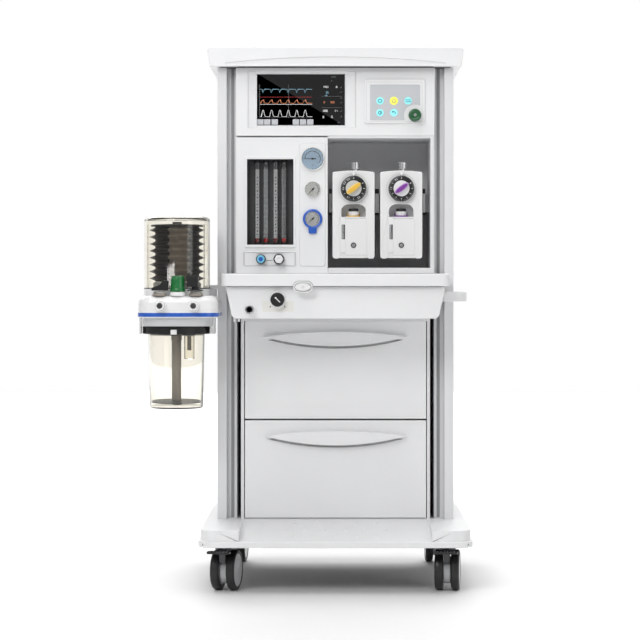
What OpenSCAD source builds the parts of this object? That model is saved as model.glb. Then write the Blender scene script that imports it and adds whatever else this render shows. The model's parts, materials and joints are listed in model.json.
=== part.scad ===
/* [Overall] */
// Height of the whole machine on its wheels
total_h = 1360; // [1250:5:1650]
// Width across the outer faces of the two columns
column_span = 604; // [560:2:740]
// Depth of the columns, front face to back face
column_d = 380; // [340:5:460]
// Width of the moulded base
base_w = 674; // [640:2:820]
// How far the base reaches in front of the columns
base_front = 255; // [230:5:320]
// How far the base reaches behind the front face of the columns
base_back = 415; // [415:5:500]

/* [Base] */
// Height of the moulded base, lip to deck
base_h = 42; // [38:1:60]
// Height of the thin lip round the base
base_lip = 14; // [10:1:18]
// Corner radius of the base in plan
base_r = 45; // [20:1:70]
// Width of the sloping footrest
footrest_w = 472; // [300:2:500]

/* [Casters] */
// Diameter of a caster wheel
wheel_d = 100; // [80:1:120]
// Width over both wheels of one caster
wheel_pair_w = 62; // [54:1:74]
// Distance of each caster stem from the middle plane
caster_x = 275; // [265:1:290]
// Distance of the caster stems from the front and back edges of the base
caster_inset = [65, 85];
// Sideways offset of the axle behind the stem
caster_trail = 24; // [18:1:30]

/* [Columns] */
// Width of the outer front strip of a column
strip_w = 23; // [18:1:30]
// Width of the inner, set-back strip
inner_strip_w = 26; // [20:1:34]
// How far the inner strip is set back
strip_step = 25; // [18:1:40]
// Wall of the column extrusion
column_wall = 4; // [3:0.5:6]

/* [Worktop] */
// Height of the worktop's upper face above the floor
worktop_z = 783; // [740:1:900]
// Thickness of the worktop slab
worktop_t = 31; // [24:1:40]
// Overhang of the worktop in front of the columns
worktop_front = 200; // [160:1:225]
// Height of the control apron below the worktop
apron_h = 80; // [76:1:100]
// How far the apron's face is set back from the worktop's edge
apron_back = 15; // [12:1:24]

/* [Head] */
// Thickness of the top shelf
shelf_t = 48; // [36:1:60]
// Width of the top shelf
shelf_w = 652; // [630:2:800]
// Overhang of the top shelf in front of the columns
shelf_front = 30; // [20:1:60]
// Height of the display fascia
display_h = 175; // [165:1:220]
// Thickness of the moulded fascias
fascia_t = 18; // [14:1:24]
// Width of the flow-meter fascia
flow_w = 235; // [235:1:260]
// Depth of the vaporizer bay
bay_d = 190; // [150:5:260]

/* [Drawers] */
// Outer width of the drawer cabinet
cabinet_w = 484; // [440:2:620]
// Gap round each drawer front
drawer_gap = 3; // [2:0.5:5]
// Thickness of a drawer front
drawer_front_t = 20; // [14:1:26]
// Width of a drawer's crescent grip
grip_w = 364; // [200:2:400]

/* [Vaporizers] */
// Width of one vaporizer
vap_w = 108; // [96:1:116]
// Height of one vaporizer
vap_h = 227; // [215:1:240]
// Depth of a vaporizer's body
vap_d = 82; // [70:1:84]
// Radius of the concentration dial
dial_r = 33; // [28:1:38]

/* [Absorber] */
// Width of the absorber block
block_w = 198; // [186:1:220]
// Depth of the absorber block
block_d = 220; // [216:1:240]
// Radius of the bellows dome
dome_r = 83; // [76:1:86]
// Height of the bellows dome
dome_h = 182; // [170:1:220]
// Height of the bellows when fully raised
bellows_h = 138; // [120:1:150]
// Radius of the canister
canister_r = 71; // [60:1:76]
// Height of the canister
canister_h = 204; // [160:1:240]

/* [Clearances] */
// Radial play of a pin or spindle in its bore
fit = 0.05; // [0.03:0.01:0.1]
// Gap between parts that move past each other
gap = 0.5; // [0.4:0.1:1]

/* [Hidden] */
$fn = 64;

// Heights that stack up from the floor
pad_t = 4;
stem_z = wheel_d + 10;                    // underside of the caster pads
lip_z = stem_z + pad_t;                   // underside of the base
deck_z = lip_z + base_h;                  // upper face of the base
shelf_z = total_h - shelf_t;              // underside of the top shelf
apron_z = worktop_z - worktop_t - apron_h;
display_z = shelf_z - display_h;          // lower edge of the display fascia
fascia_gap = 4;                           // shadow gap between the two fascias

// Faces of the column, measured from the middle plane
col_out = column_span / 2;
col_step = col_out - strip_w;
col_in = col_step - inner_strip_w;

// The machine is drawn round its own middle plane and the front face of its columns, and
// then moved so that the origin is under the middle of its bounding box.
block_x = -(col_out + 86);                // middle plane of the absorber block
block_back = -5;                          // its rear face
band_over = 1.5;                          // the blue band stands proud of the block
left_edge = block_x - block_w / 2 - band_over;
to_origin = [-(base_w / 2 + left_edge) / 2, -(base_back - base_front) / 2, 0];

module place() translate(to_origin) children();

// ---------------------------------------------------------------- shapes

// Rectangle with round corners, centred
module rrect(w, d, r) {
    square([w - 2 * r, d], center = true);
    square([w, d - 2 * r], center = true);
    for (sx = [-1, 1], sy = [-1, 1]) translate([sx * (w / 2 - r), sy * (d / 2 - r)]) circle(r);
}

// Upright block with round vertical corners, centred on x and y, standing on z
module slab(at, w, d, h, r) translate(at) linear_extrude(h) rrect(w, d, r);

// Plate that faces the front: centre x and z, from y0 to y1
module plate(x, z, w, h, r, y0, y1)
    translate([x, y1, z]) rotate([90, 0, 0]) linear_extrude(y1 - y0) rrect(w, h, r);

// Box between two opposite corners
module box(a, b) translate(a) cube([b[0] - a[0], b[1] - a[1], b[2] - a[2]]);

// Round bar along y
module bar_y(x, z, r, y0, y1) translate([x, y0, z]) rotate([-90, 0, 0]) cylinder(r = r, h = y1 - y0);

// Round bar along x
module bar_x(y, z, r, x0, x1) translate([x0, y, z]) rotate([0, 90, 0]) cylinder(r = r, h = x1 - x0);

// Upright round bar
module bar_z(x, y, r, z0, z1) translate([x, y, z0]) cylinder(r = r, h = z1 - z0);

// Outline drawn in x and z, swept from y0 to y1
module sweep_y(y0, y1) translate([0, y1, 0]) rotate([90, 0, 0]) linear_extrude(y1 - y0) children();

// Outline drawn in y and z, swept from x0 to x1
module sweep_x(x0, x1) translate([x0, 0, 0]) rotate([90, 0, 90]) linear_extrude(x1 - x0) children();

// Points on an arc from angle a0 to angle a1
function arc(c, r, a0, a1, n = 8) =
    [for (i = [0 : n]) let (a = a0 + (a1 - a0) * i / n) [c[0] + r * cos(a), c[1] + r * sin(a)]];

// ---------------------------------------------------------------- base

base_mid = (base_back - base_front) / 2;
base_d = base_back + base_front;
base_step = 6;                            // the body is set in from the lip
base_skin = 6;                            // wall of the moulding
foot_edge = base_front - base_step;       // front edge of the footrest

module base_cover() place() color("whitesmoke") difference() {
    union() {
        slab([0, base_mid, lip_z], base_w, base_d, base_lip, base_r);
        slab([0, base_mid, lip_z + base_lip], base_w - 2 * base_step, base_d - 2 * base_step,
             base_h - base_lip, base_r - base_step);
    }
    // sloping footrest between the two front corner blocks
    sweep_x(-footrest_w / 2, footrest_w / 2)
        polygon([[-base_front - 1, lip_z + base_lip + 1], [-foot_edge, lip_z + base_lip + 1],
                 [-6, deck_z], [-6, deck_z + 5], [-base_front - 1, deck_z + 5]]);
    // hollow underside: low under the footrest, high over the chassis beams
    box([-base_w / 2 + base_step * 2, -foot_edge + base_skin, lip_z - 1],
        [base_w / 2 - base_step * 2, base_back - base_step * 2, lip_z + base_lip - base_skin]);
    for (s = [-1, 1]) translate([s * beam_x, base_mid, 0])
        box([-beam_w / 2 - 1, -base_d / 2 + base_r, lip_z - 1],
            [beam_w / 2 + 1, base_d / 2 - base_r, deck_z - base_skin]);
    box([-beam_x, 10, lip_z - 1], [beam_x, base_back - base_r, deck_z - base_skin]);
}

// Chassis: floor plate, two square tubes, a cross tube and four caster pads
beam_x = caster_x;
beam_w = 50;
beam_wall = 3;
floor_t = 4;
beam_y0 = -base_front + base_r + 2;
beam_y1 = base_back - base_r - 2;
stem_r = 6;
stem_h = 30;
pad_w = 64;
caster_y = [-base_front + caster_inset[0], base_back - caster_inset[1]];

module base_chassis() place() color("dimgray") difference() {
    union() {
        box([-base_w / 2 + 14, -foot_edge + base_skin + 2, lip_z],
            [base_w / 2 - 14, base_back - 14, lip_z + floor_t]);
        for (s = [-1, 1]) difference() {
            box([s * beam_x - beam_w / 2, beam_y0, lip_z + floor_t],
                [s * beam_x + beam_w / 2, beam_y1, deck_z - base_skin - 1]);
            box([s * beam_x - beam_w / 2 + beam_wall, beam_y0 - 1, lip_z + floor_t + beam_wall],
                [s * beam_x + beam_w / 2 - beam_wall, beam_y1 + 1, deck_z - base_skin - 1 - beam_wall]);
        }
        box([-beam_x + beam_w / 2, column_d / 2 - 20, lip_z + floor_t],
            [beam_x - beam_w / 2, column_d / 2 + 20, deck_z - base_skin - 1]);
        for (s = [-1, 1], y = caster_y) {
            slab([s * beam_x, y, stem_z], pad_w, pad_w, pad_t, 8);
            bar_z(s * beam_x, y, stem_r + 8, lip_z, deck_z - base_skin - 1);
        }
    }
    for (s = [-1, 1], y = caster_y) bar_z(s * beam_x, y, stem_r + fit, stem_z - 1, stem_z + stem_h + 1);
}

// ---------------------------------------------------------------- casters

// Turn of each caster at rest, about its stem
function caster_turn(i) = [-12, -6, -5, 0][i];
function caster_at(i) = [i % 2 == 0 ? -caster_x : caster_x, caster_y[i < 2 ? 0 : 1], 0];

fork_w = 18;
flange_t = 6;
flange_r = 22;
axle_r = 4;
hub_r = 34;
tyre_r = 6;                               // rounding of the tyre's shoulders
pedal_pin = [-27, wheel_d + 1, 3];        // y, z and radius of the pedal's pin
pedal_plate = [58, 24, 6];

module at_caster(i) place() translate(caster_at(i)) rotate([0, 0, caster_turn(i)]) children();

module fork(i, braked) at_caster(i) color("gray") difference() {
    union() {
        bar_z(0, 0, stem_r, stem_z - gap - 1, stem_z + stem_h - 1);
        bar_z(0, 0, flange_r, stem_z - gap - flange_t, stem_z - gap);
        sweep_x(-fork_w / 2, fork_w / 2) {
            polygon([[-16, stem_z - gap - flange_t], [26, stem_z - gap - flange_t],
                     [caster_trail + 18, wheel_d / 2 + 10], [caster_trail - 18, wheel_d / 2 + 10]]);
            translate([caster_trail, wheel_d / 2]) circle(hub_r);
        }
        if (braked) box([-8, pedal_pin[0] - 6, wheel_d - 6], [8, -14, stem_z - gap]);
    }
    bar_x(caster_trail, wheel_d / 2, axle_r + fit, -fork_w, fork_w);
    if (braked) bar_x(pedal_pin[0], pedal_pin[1], pedal_pin[2] + fit, -20, 20);
}

module wheels(i) at_caster(i) color("darkslategray") {
    for (s = [-1, 1]) mirror([s < 0 ? 1 : 0, 0, 0])
        translate([fork_w / 2 + gap, caster_trail, wheel_d / 2]) rotate([0, 90, 0])
            rotate_extrude() wheel_outline();
    bar_x(caster_trail, wheel_d / 2, axle_r, -fork_w / 2 - gap, fork_w / 2 + gap);
}

// Half section of one wheel, with a rounded tyre
module wheel_outline() {
    w = wheel_pair_w / 2 - fork_w / 2 - gap;
    rim = wheel_d / 2 - tyre_r;
    polygon(concat([[0, 0], [rim, 0]], arc([rim, tyre_r], tyre_r, -90, 0),
                   arc([rim, w - tyre_r], tyre_r, 0, 90), [[rim - 10, w - 2], [0, w - 2]]));
}

module brake_pedal(i) at_caster(i) color("black") {
    y = pedal_pin[0];
    z = pedal_pin[1];
    bar_x(y, z, pedal_pin[2], -14, 14);
    for (s = [-1, 1]) mirror([s < 0 ? 1 : 0, 0, 0]) box([8 + gap, y - 12, z - 4], [14, y + 4, z + 4]);
    slab([0, y - 22, z - 3], pedal_plate[0], pedal_plate[1], pedal_plate[2], 6);
}

module front_left_fork() fork(0, true);
module front_right_fork() fork(1, true);
module rear_left_fork() fork(2, false);
module rear_right_fork() fork(3, false);
module front_left_wheels() wheels(0);
module front_right_wheels() wheels(1);
module rear_left_wheels() wheels(2);
module rear_right_wheels() wheels(3);
module front_left_brake_pedal() brake_pedal(0);
module front_right_brake_pedal() brake_pedal(1);

// ---------------------------------------------------------------- columns and covers

hinge = [-(col_out + 16), 10];            // pivot of the absorber arm
hinge_z = [690, 745];                     // the arm's hub between the two ears
hinge_pin_r = 5;
ear_r = 12;

module column() {
    chambers = 4;
    y0 = strip_step + column_wall;
    pitch = (column_d - y0) / chambers;
    difference() {
        union() {
            box([col_step, 0, deck_z], [col_out, column_d, shelf_z]);
            box([col_in, strip_step, deck_z], [col_step, column_d, shelf_z]);
        }
        box([col_step + column_wall, column_wall, deck_z - 1],
            [col_out - column_wall, strip_step, shelf_z + 1]);
        for (i = [0 : chambers - 1])
            box([col_in + column_wall, y0 + i * pitch, deck_z - 1],
                [col_out - column_wall, y0 + (i + 1) * pitch - column_wall, shelf_z + 1]);
    }
}

// Two columns; the left one carries the hinge ears and pin of the absorber arm
module side_columns() place() color("gainsboro") {
    column();
    mirror([1, 0, 0]) column();
    for (z = [[hinge_z[0] - 10, hinge_z[0] - gap], [hinge_z[1] + gap, hinge_z[1] + 10]]) {
        bar_z(hinge[0], hinge[1], ear_r, z[0], z[1]);
        box([hinge[0], 0, z[0]], [-col_out, 2 * hinge[1], z[1]]);
    }
    bar_z(hinge[0], hinge[1], hinge_pin_r, hinge_z[0] - 10, hinge_z[1] + 10);
}

rear_t = 12;
inlet_z = 560;
inlet_pitch = 60;
inlet_r = 7;
mains_at = [150, 300];                    // x and z of the mains inlet
mains_size = [48, 27];
mains_wall = 3;
mains_depth = 22;
mains_pin = [2, 14, 5];                   // width, length and height of a contact

// Folded rear panel, with the mains inlet set into it
module rear_cover() place() color("whitesmoke") {
    y1 = column_d + rear_t;
    difference() {
        box([-col_out, column_d, deck_z], [col_out, y1, shelf_z]);
        box([-col_in, column_d - 1, deck_z + 3], [col_in, y1 - 3, shelf_z - 3]);
        for (i = [-1 : 1]) bar_y(i * inlet_pitch, inlet_z, inlet_r + gap, column_d, y1 + 1);
        plate(mains_at[0], mains_at[1], mains_size[0], mains_size[1], 3, column_d, y1 + 1);
    }
    difference() {
        plate(mains_at[0], mains_at[1], mains_size[0], mains_size[1], 3, y1 - mains_depth - mains_wall, y1);
        plate(mains_at[0], mains_at[1], mains_size[0] - 2 * mains_wall, mains_size[1] - 2 * mains_wall, 2,
              y1 - mains_depth, y1 + 1);
    }
    for (i = [-1 : 1])
        translate([mains_at[0] + i * 7 - mains_pin[0] / 2, y1 - mains_depth,
                   mains_at[1] + (i == 0 ? 4 : 0) - mains_pin[2] / 2]) cube(mains_pin);
}

// ---------------------------------------------------------------- worktop and apron

worktop_w = column_span - 40;
worktop_corner_r = 18;
tongue_drop = 1;                          // the tongue between the columns lies lower
apron_y = -worktop_front + apron_back;    // front face of the apron
apron_top_w = worktop_w - 21;
apron_low_w = apron_top_w - 28;
apron_wall = 4;
apron_r = 14;

flush_x = -80;
flush_z = worktop_z - worktop_t - 2;
flush_size = [48, 27.4];
flush_button_size = [40, 20];
flush_proud = 12;
flush_travel = 4;
flush_back = 12;                          // the boss's rear face behind the apron's face
flush_pocket = 8;                         // the pocket's floor behind the apron's face

module worktop() place() color("white") difference() {
    union() {
        slab([0, -worktop_front / 2 + 20, worktop_z - worktop_t], worktop_w, worktop_front + 40, worktop_t,
             worktop_corner_r);
        box([-col_in, 0, worktop_z - worktop_t], [col_in, column_d, worktop_z]);
    }
    // the slab ends at the columns; only a lower tongue runs back between them
    for (s = [0, 1]) mirror([s, 0, 0])
        box([col_in, 0, worktop_z - worktop_t - 1], [col_out, 60, worktop_z + 1]);
    box([-col_out, 0, worktop_z - tongue_drop], [col_out, column_d + 1, worktop_z + 1]);
    plate(flush_x, flush_z, flush_size[0] + 2 * gap, flush_size[1] + 2 * gap, flush_size[1] / 2 + gap - 0.01,
          -worktop_front - 1, apron_y + flush_back + gap);
}

function apron_outline(t) = let (
        top = worktop_z - worktop_t, w0 = apron_top_w / 2 - t, w1 = apron_low_w / 2 - t,
        r = apron_r - t, z0 = apron_z + t)
    concat([[-w0, top - t], [-w1, z0 + r]], arc([-w1 + r, z0 + r], r, 180, 270),
           arc([w1 - r, z0 + r], r, 270, 360), [[w0, top - t]]);

outlet_at = [-212, apron_z + 22.5];       // fresh-gas outlet, x and z
outlet_r = 11;
outlet_bore_r = 7.5;
selector_at = [-143, apron_z + 47];
selector_r = 17.5;
selector_spindle_r = 4;
handle_z = apron_z + 53.5;
handle_lead_y = -30;                      // the handle's front leg
handle_t = 12;
handle_h = 25;
handle_pad_x = apron_top_w / 2 + 1;
handle_reach = 27;                        // centre line of its long run outside the column

module worktop_apron() place() color("white") difference() {
    union() {
        sweep_y(apron_y, 0) polygon(apron_outline(0));
        plate(flush_x, flush_z, flush_size[0], flush_size[1], flush_size[1] / 2 - 0.01,
              -worktop_front - flush_proud, apron_y + flush_back);
        bar_y(selector_at[0], selector_at[1], selector_r + 2.5, apron_y - 5, apron_y + 1);
        box([apron_low_w / 2 - 20, handle_lead_y - handle_t, handle_z - handle_h / 2 - 4],
            [handle_pad_x, handle_lead_y + handle_t, handle_z + handle_h / 2 + 4]);
        for (x = [-250, -239]) bar_z(x, apron_y + 12, 2.7, apron_z - 8, apron_z + 4);
    }
    difference() {
        sweep_y(apron_y + apron_wall, 1) polygon(apron_outline(apron_wall));
        // solid bosses behind the controls
        plate(flush_x, flush_z, flush_size[0] + 8, flush_size[1] + 8, 8, apron_y, apron_y + 16);
        bar_y(selector_at[0], selector_at[1], 12, apron_y, apron_y + 24);
        bar_y(outlet_at[0], outlet_at[1], 18, apron_y, apron_y + 16);
    }
    plate(flush_x, flush_z, flush_button_size[0] + 2 * gap, flush_button_size[1] + 2 * gap,
          flush_button_size[1] / 2 + gap - 0.01, -worktop_front - flush_proud - 1, apron_y + flush_pocket);
    bar_y(selector_at[0], selector_at[1], selector_spindle_r + fit, apron_y - 6, apron_y + 25);
    bar_y(outlet_at[0], outlet_at[1], outlet_r, apron_y - 1, apron_y + 17);
}

module o2_flush_button() place() color("ghostwhite")
    plate(flush_x, flush_z, flush_button_size[0], flush_button_size[1], flush_button_size[1] / 2 - 0.01,
          -worktop_front - flush_proud - flush_travel, apron_y + flush_pocket - flush_travel - 1);

module outlet_selector_knob() place() color("black") {
    bar_y(selector_at[0], selector_at[1], selector_r, apron_y - 5 - gap - 15, apron_y - 5 - gap);
    bar_y(selector_at[0], selector_at[1], selector_spindle_r, apron_y - 5 - gap, apron_y + 22);
    translate([selector_at[0], 0, selector_at[1]]) rotate([0, -45, 0])
        plate(0, 0, 3, 22, 1.4, apron_y - 5 - gap - 16.5, apron_y - 5 - gap - 15);
}

// Fresh-gas outlet on the apron and three supply inlets through the rear cover
module gas_fittings() place() color("silver") {
    difference() {
        union() {
            bar_y(outlet_at[0], outlet_at[1], outlet_r + 5, apron_y - 5, apron_y);
            bar_y(outlet_at[0], outlet_at[1], outlet_r, apron_y - 22, apron_y + 16);
        }
        bar_y(outlet_at[0], outlet_at[1], outlet_bore_r, apron_y - 23, apron_y + 17);
    }
    for (i = [-1 : 1]) difference() {
        union() {
            bar_y(i * inlet_pitch, inlet_z, inlet_r, column_d - 16, column_d + rear_t + 20);
            translate([i * inlet_pitch, column_d + rear_t, inlet_z]) rotate([-90, 0, 0])
                cylinder(r = inlet_r + 5, h = 6, $fn = 6);
        }
        bar_y(i * inlet_pitch, inlet_z, inlet_r - 4, column_d - 17, column_d + rear_t + 21);
    }
}

// Flat bar that leaves the apron, turns round the column and comes back to it
module side_handle() place() color("white") {
    bend = 24;
    x1 = col_out + handle_reach;          // centre line of the long run
    y1 = 235;
    z0 = handle_z - handle_h / 2;
    z1 = handle_z + handle_h / 2;
    t = handle_t / 2;
    box([handle_pad_x, handle_lead_y - t, z0], [x1 - bend, handle_lead_y + t, z1]);
    box([x1 - t, handle_lead_y + bend, z0], [x1 + t, y1 - bend, z1]);
    box([col_out, y1 - t, z0], [x1 - bend, y1 + t, z1]);
    translate([x1 - bend, handle_lead_y + bend, z0]) rotate([0, 0, -90]) handle_bend(bend, t);
    translate([x1 - bend, y1 - bend, z0]) handle_bend(bend, t);
}

module handle_bend(bend, t) rotate_extrude(angle = 90) translate([bend - t, 0]) square([2 * t, handle_h]);

// ---------------------------------------------------------------- top shelf and head

shelf_taper = 5;
shelf_r = 7;
shelf_wall = 4;

module top_shelf() place() color("white") difference() {
    sweep_y(-shelf_front, column_d + rear_t + 3)
        polygon(concat(arc([-shelf_w / 2 + shelf_r, total_h - shelf_r], shelf_r, 180, 90),
                       arc([shelf_w / 2 - shelf_r, total_h - shelf_r], shelf_r, 90, 0),
                       [[shelf_w / 2 - shelf_taper, shelf_z], [-shelf_w / 2 + shelf_taper, shelf_z]]));
    // crescent relief along the lower front edge
    sweep_y(-shelf_front - 1, -shelf_front + 3) intersection() {
        translate([0, shelf_z + 24 - 2600]) circle(2600, $fn = 200);
        translate([-280, shelf_z + 5]) square([560, 40]);
    }
    box([-col_in + 5, -shelf_front + shelf_wall + 3, shelf_z - 1],
        [col_in - 5, column_d, total_h - shelf_wall]);
}

flow_x0 = -col_in - 2;                    // left edge of the flow fascia
flow_x1 = flow_x0 + flow_w;               // right edge, where the bay starts
bay_x1 = col_in - 10;
bay_z0 = worktop_z + 16;
bay_z1 = display_z - 6;
house_wall = 3;

module head_housing() place() color("gainsboro") difference() {
    union() {
        box([-col_in, fascia_t, worktop_z - tongue_drop], [col_in, column_d, shelf_z]);
        box([flow_x1 + gap, 0, worktop_z], [col_in, fascia_t, display_z - gap]);
    }
    box([flow_x1, -1, bay_z0], [bay_x1, bay_d, bay_z1]);                         // vaporizer bay
    box([-col_in + house_wall, fascia_t - 1, display_z + house_wall],
        [col_in - house_wall, column_d - house_wall, shelf_z - house_wall]);      // display space
    box([-col_in + house_wall, fascia_t - 1, worktop_z + house_wall],
        [flow_x1 - house_wall, column_d - house_wall, display_z - house_wall]);   // gas space
    box([flow_x1 - house_wall - 1, bay_d + house_wall, bay_z0],
        [bay_x1, column_d - house_wall, bay_z1]);                                 // behind the bay
}

// Display: window with a recessed border, raised keypad field and encoder bore
screen_x = -89;
screen_z = display_z + 93;
screen_size = [225, 130];
border_size = [276, 146];
keypad_x = 151.5;
keypad_z = display_z + 88;
keypad_size = [155, 112];
keypad_proud = 5;
encoder_at = [203, display_z + 52];
encoder_r = 16.3;
encoder_shaft_r = 4;
encoder_press = 1;

module display_fascia() place() color("white") difference() {
    union() {
        plate(0, display_z + display_h / 2, 2 * col_in + 4, display_h, 2, 0, fascia_t);
        plate(keypad_x, keypad_z, keypad_size[0], keypad_size[1], 6, -keypad_proud, 1);
    }
    plate(screen_x, screen_z, screen_size[0] + 2, screen_size[1] + 2, 1, -1, fascia_t + 1);
    plate(screen_x + 3, screen_z, border_size[0], border_size[1], 3, -1, 8);
    plate(screen_x, screen_z, screen_size[0] + 16, screen_size[1] + 16, 1, 12, fascia_t + 1);
    bar_y(encoder_at[0], encoder_at[1], encoder_shaft_r + fit, -keypad_proud - 1, fascia_t + 1);
}

module display_screen() place() color("black")
    plate(screen_x, screen_z, screen_size[0] + 16, screen_size[1] + 16, 1, 12, fascia_t);

module keypad_overlay() place() color("lightgray") difference() {
    plate(keypad_x + 1, keypad_z - 3, 128, 91, 3, -keypad_proud - 0.8, -keypad_proud);
    bar_y(encoder_at[0], encoder_at[1], 28, -keypad_proud - 1, -keypad_proud + 1);
}

module encoder_shaft() place() color("dimgray") {
    bar_y(encoder_at[0], encoder_at[1], encoder_shaft_r, -keypad_proud - 18, fascia_t + 8);
    bar_y(encoder_at[0], encoder_at[1], encoder_shaft_r + 4, fascia_t + encoder_press + 0.5, fascia_t + 8);
}

module encoder_knob() place() color("darkgreen") difference() {
    bar_y(encoder_at[0], encoder_at[1], encoder_r, -keypad_proud - 20, -keypad_proud - encoder_press - gap);
    bar_y(encoder_at[0], encoder_at[1], encoder_shaft_r + fit, -keypad_proud - 18, 0);
}

// ---------------------------------------------------------------- flow meters and gauges

flow_top = display_z - fascia_gap;
window_x = flow_x0 + 88;
window_top = 56;                          // window's upper edge below the fascia's
window_foot = 79;                         // window's lower edge above the worktop
window_size = [118.5, display_z - worktop_z - window_top - window_foot];
window_z = flow_top - window_top - window_size[1] / 2;
window_depth = 36;
tube_x = [window_x - 34, window_x - 12, window_x + 13, window_x + 34.5];
tube_y = 20;
tube_r = 7;
tube_bore_r = 6.3;
float_r = 5.8;
float_h = 15;
float_z = window_z - window_size[1] / 2 + 2;
valve_z = worktop_z + 38;
n2o_x = flow_x0 + 64.5;
o2_x = flow_x0 + 110.5;
valve_spindle_r = 3;
gauge_x = flow_x1 - 38.5;
gauge_panel_top = 13;                     // raised gauge panel's upper edge below the fascia's
gauge_panel_h = display_z - worktop_z - 37;
gauge_z = [flow_top - 55, flow_top - 133.5, flow_top - 209];
gauge_r = [28, 19, 19];                   // dial radius of each gauge
gauge_rim = [3, 2, 6];
gauge_proud = 8;
needle_pin_r = 1;

module flow_fascia() place() color("white") difference() {
    union() {
        box([flow_x0, 0, worktop_z + gap], [flow_x1, fascia_t, flow_top]);
        plate(gauge_x - 0.5, flow_top - gauge_panel_top - gauge_panel_h / 2, 67, gauge_panel_h, 8, -2, 1);
        plate(window_x, window_z, window_size[0] + 12, window_size[1] + 14, 4, -3, 1);
        plate(window_x, window_z, window_size[0] + 6, window_size[1] + 6, 1, fascia_t - 1, window_depth + 3);
        plate(n2o_x + 22.5, valve_z + 1, 135, 37, 6, -2, 1);
    }
    plate(window_x, window_z, window_size[0], window_size[1], 1, -4, window_depth);
    for (x = tube_x)
        bar_z(x, tube_y, tube_r + gap, window_z - window_size[1] / 2 - 9, window_z + window_size[1] / 2 + 9);
    for (x = [n2o_x, o2_x]) bar_y(x, valve_z, valve_spindle_r + fit, -3, fascia_t + 1);
    for (i = [0 : 2]) bar_y(gauge_x, gauge_z[i], gauge_r[i] - 3, -3, fascia_t + 1);
}

// Four glass tubes between an upper and a lower gas block
module flow_tubes() place() color("lightcyan") {
    z0 = window_z - window_size[1] / 2 - 8;
    z1 = window_z + window_size[1] / 2 + 8;
    for (x = tube_x) difference() {
        bar_z(x, tube_y, tube_r, z0, z1);
        bar_z(x, tube_y, tube_bore_r, z0 - 1, z1 + 1);
    }
}

module floats(xs) place() color("red")
    for (x = xs) bar_z(x, tube_y, float_r, float_z, float_z + float_h);

module n2o_floats() floats([tube_x[0], tube_x[1]]);
module o2_floats() floats([tube_x[2], tube_x[3]]);

module valve_knob(x, r, c) place() color(c) {
    bar_y(x, valve_z, r, -26, -2 - gap);
    bar_y(x, valve_z, valve_spindle_r, -2 - gap, fascia_t + 14);
}

module n2o_knob() valve_knob(n2o_x, 12.8, "royalblue");
module o2_knob() valve_knob(o2_x, 14, "white");

module gauge_cases() place() color("silver") {
    for (i = [0 : 2]) difference() {
        union() {
            bar_y(gauge_x, gauge_z[i], gauge_r[i] + gauge_rim[i], -2 - gauge_proud, -2);
            bar_y(gauge_x, gauge_z[i], gauge_r[i] - 3 - gap, -2, fascia_t + 12);
            if (i == 2) plate(gauge_x, gauge_z[i] - 28, 20, 18, 3, -2 - gauge_proud, -2);
        }
        bar_y(gauge_x, gauge_z[i], gauge_r[i], -3 - gauge_proud, -4);
        bar_y(gauge_x, gauge_z[i], needle_pin_r + fit, -5, 6);
    }
}

module gauge_lenses() place() color("aliceblue")
    for (i = [0 : 2]) bar_y(gauge_x, gauge_z[i], gauge_r[i], -1.8 - gauge_proud, -0.6 - gauge_proud);

// Needle that rests at the low end of its scale: level on the airway gauge, else down and left
needle_turn = [-90, -135, -135];

module needle(i) place() color("black") translate([gauge_x, 0, gauge_z[i]]) {
    bar_y(0, 0, 2.6, -7, -5);
    bar_y(0, 0, needle_pin_r, -5, 5);
    rotate([0, needle_turn[i], 0]) box([-0.8, -6.6, -6], [0.8, -5.4, gauge_r[i] - 5]);
}

module airway_needle() needle(0);
module supply_needle() needle(1);
module suction_needle() needle(2);

// ---------------------------------------------------------------- vaporizers

bay_mid = (flow_x1 + bay_x1) / 2;
vap_pitch = vap_w + 14.5;
vap_shift = -4;                           // the pair hangs a little left of the bay's middle
vap_y = 10;                               // front face of a vaporizer
vap_z = bay_z0 + 23;
bar_z0 = vap_z + 123;                     // back bar
bar_h = 45;
bar_y0 = vap_y + vap_d + 4;
bar_d = 30;
dial_z = vap_z + 180;
dial_spindle_r = 5;
grip_turn = 37;                           // the dial's grip rises to the right at rest
lock_dx = 4.5;
lock_y = vap_y + 50;
lock_spindle_r = 4;
filler_y = vap_y + 20;
filler_z = vap_z + 122;
filler_r = 15;
filler_plug_r = 8;
niche_size = [64, 38, 37];                // width, depth, height

function vap_x(side) = bay_mid + vap_shift + side * vap_pitch / 2;

module vaporizer(side) place() color("white") translate([vap_x(side), 0, 0]) {
    difference() {
        union() {
            slab([0, vap_y + vap_d / 2, vap_z], vap_w, vap_d, vap_h, 14);
            box([-40, vap_y + vap_d - 2, bar_z0 + bar_h], [40, bar_y0 + bar_d, bar_z0 + bar_h + 42]);
        }
        box([-niche_size[0] / 2, vap_y - 1, vap_z + 104],
            [niche_size[0] / 2, vap_y + niche_size[1], vap_z + 104 + niche_size[2]]);
        bar_y(0, dial_z, dial_spindle_r + fit, vap_y - 1, vap_y + 30);
        bar_z(lock_dx, lock_y, lock_spindle_r + fit, vap_z + vap_h - 30, vap_z + vap_h + 1);
        box([-34, vap_y - 1, vap_z + 8], [-20, vap_y + 5, vap_z + 104]);
    }
    // filler cup, sight-glass holder and drain screw
    difference() {
        bar_z(0, filler_y, filler_r, vap_z + 104, filler_z);
        bar_z(0, filler_y, filler_plug_r + fit, vap_z + 106, filler_z + 1);
    }
    box([-33.5, vap_y - 4, vap_z + 8], [-20.5, vap_y + 5, vap_z + 104]);
    bar_y(0, vap_z + 35, 7, vap_y - 4, vap_y);
}

module left_vaporizer() vaporizer(-1);
module right_vaporizer() vaporizer(1);

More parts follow.
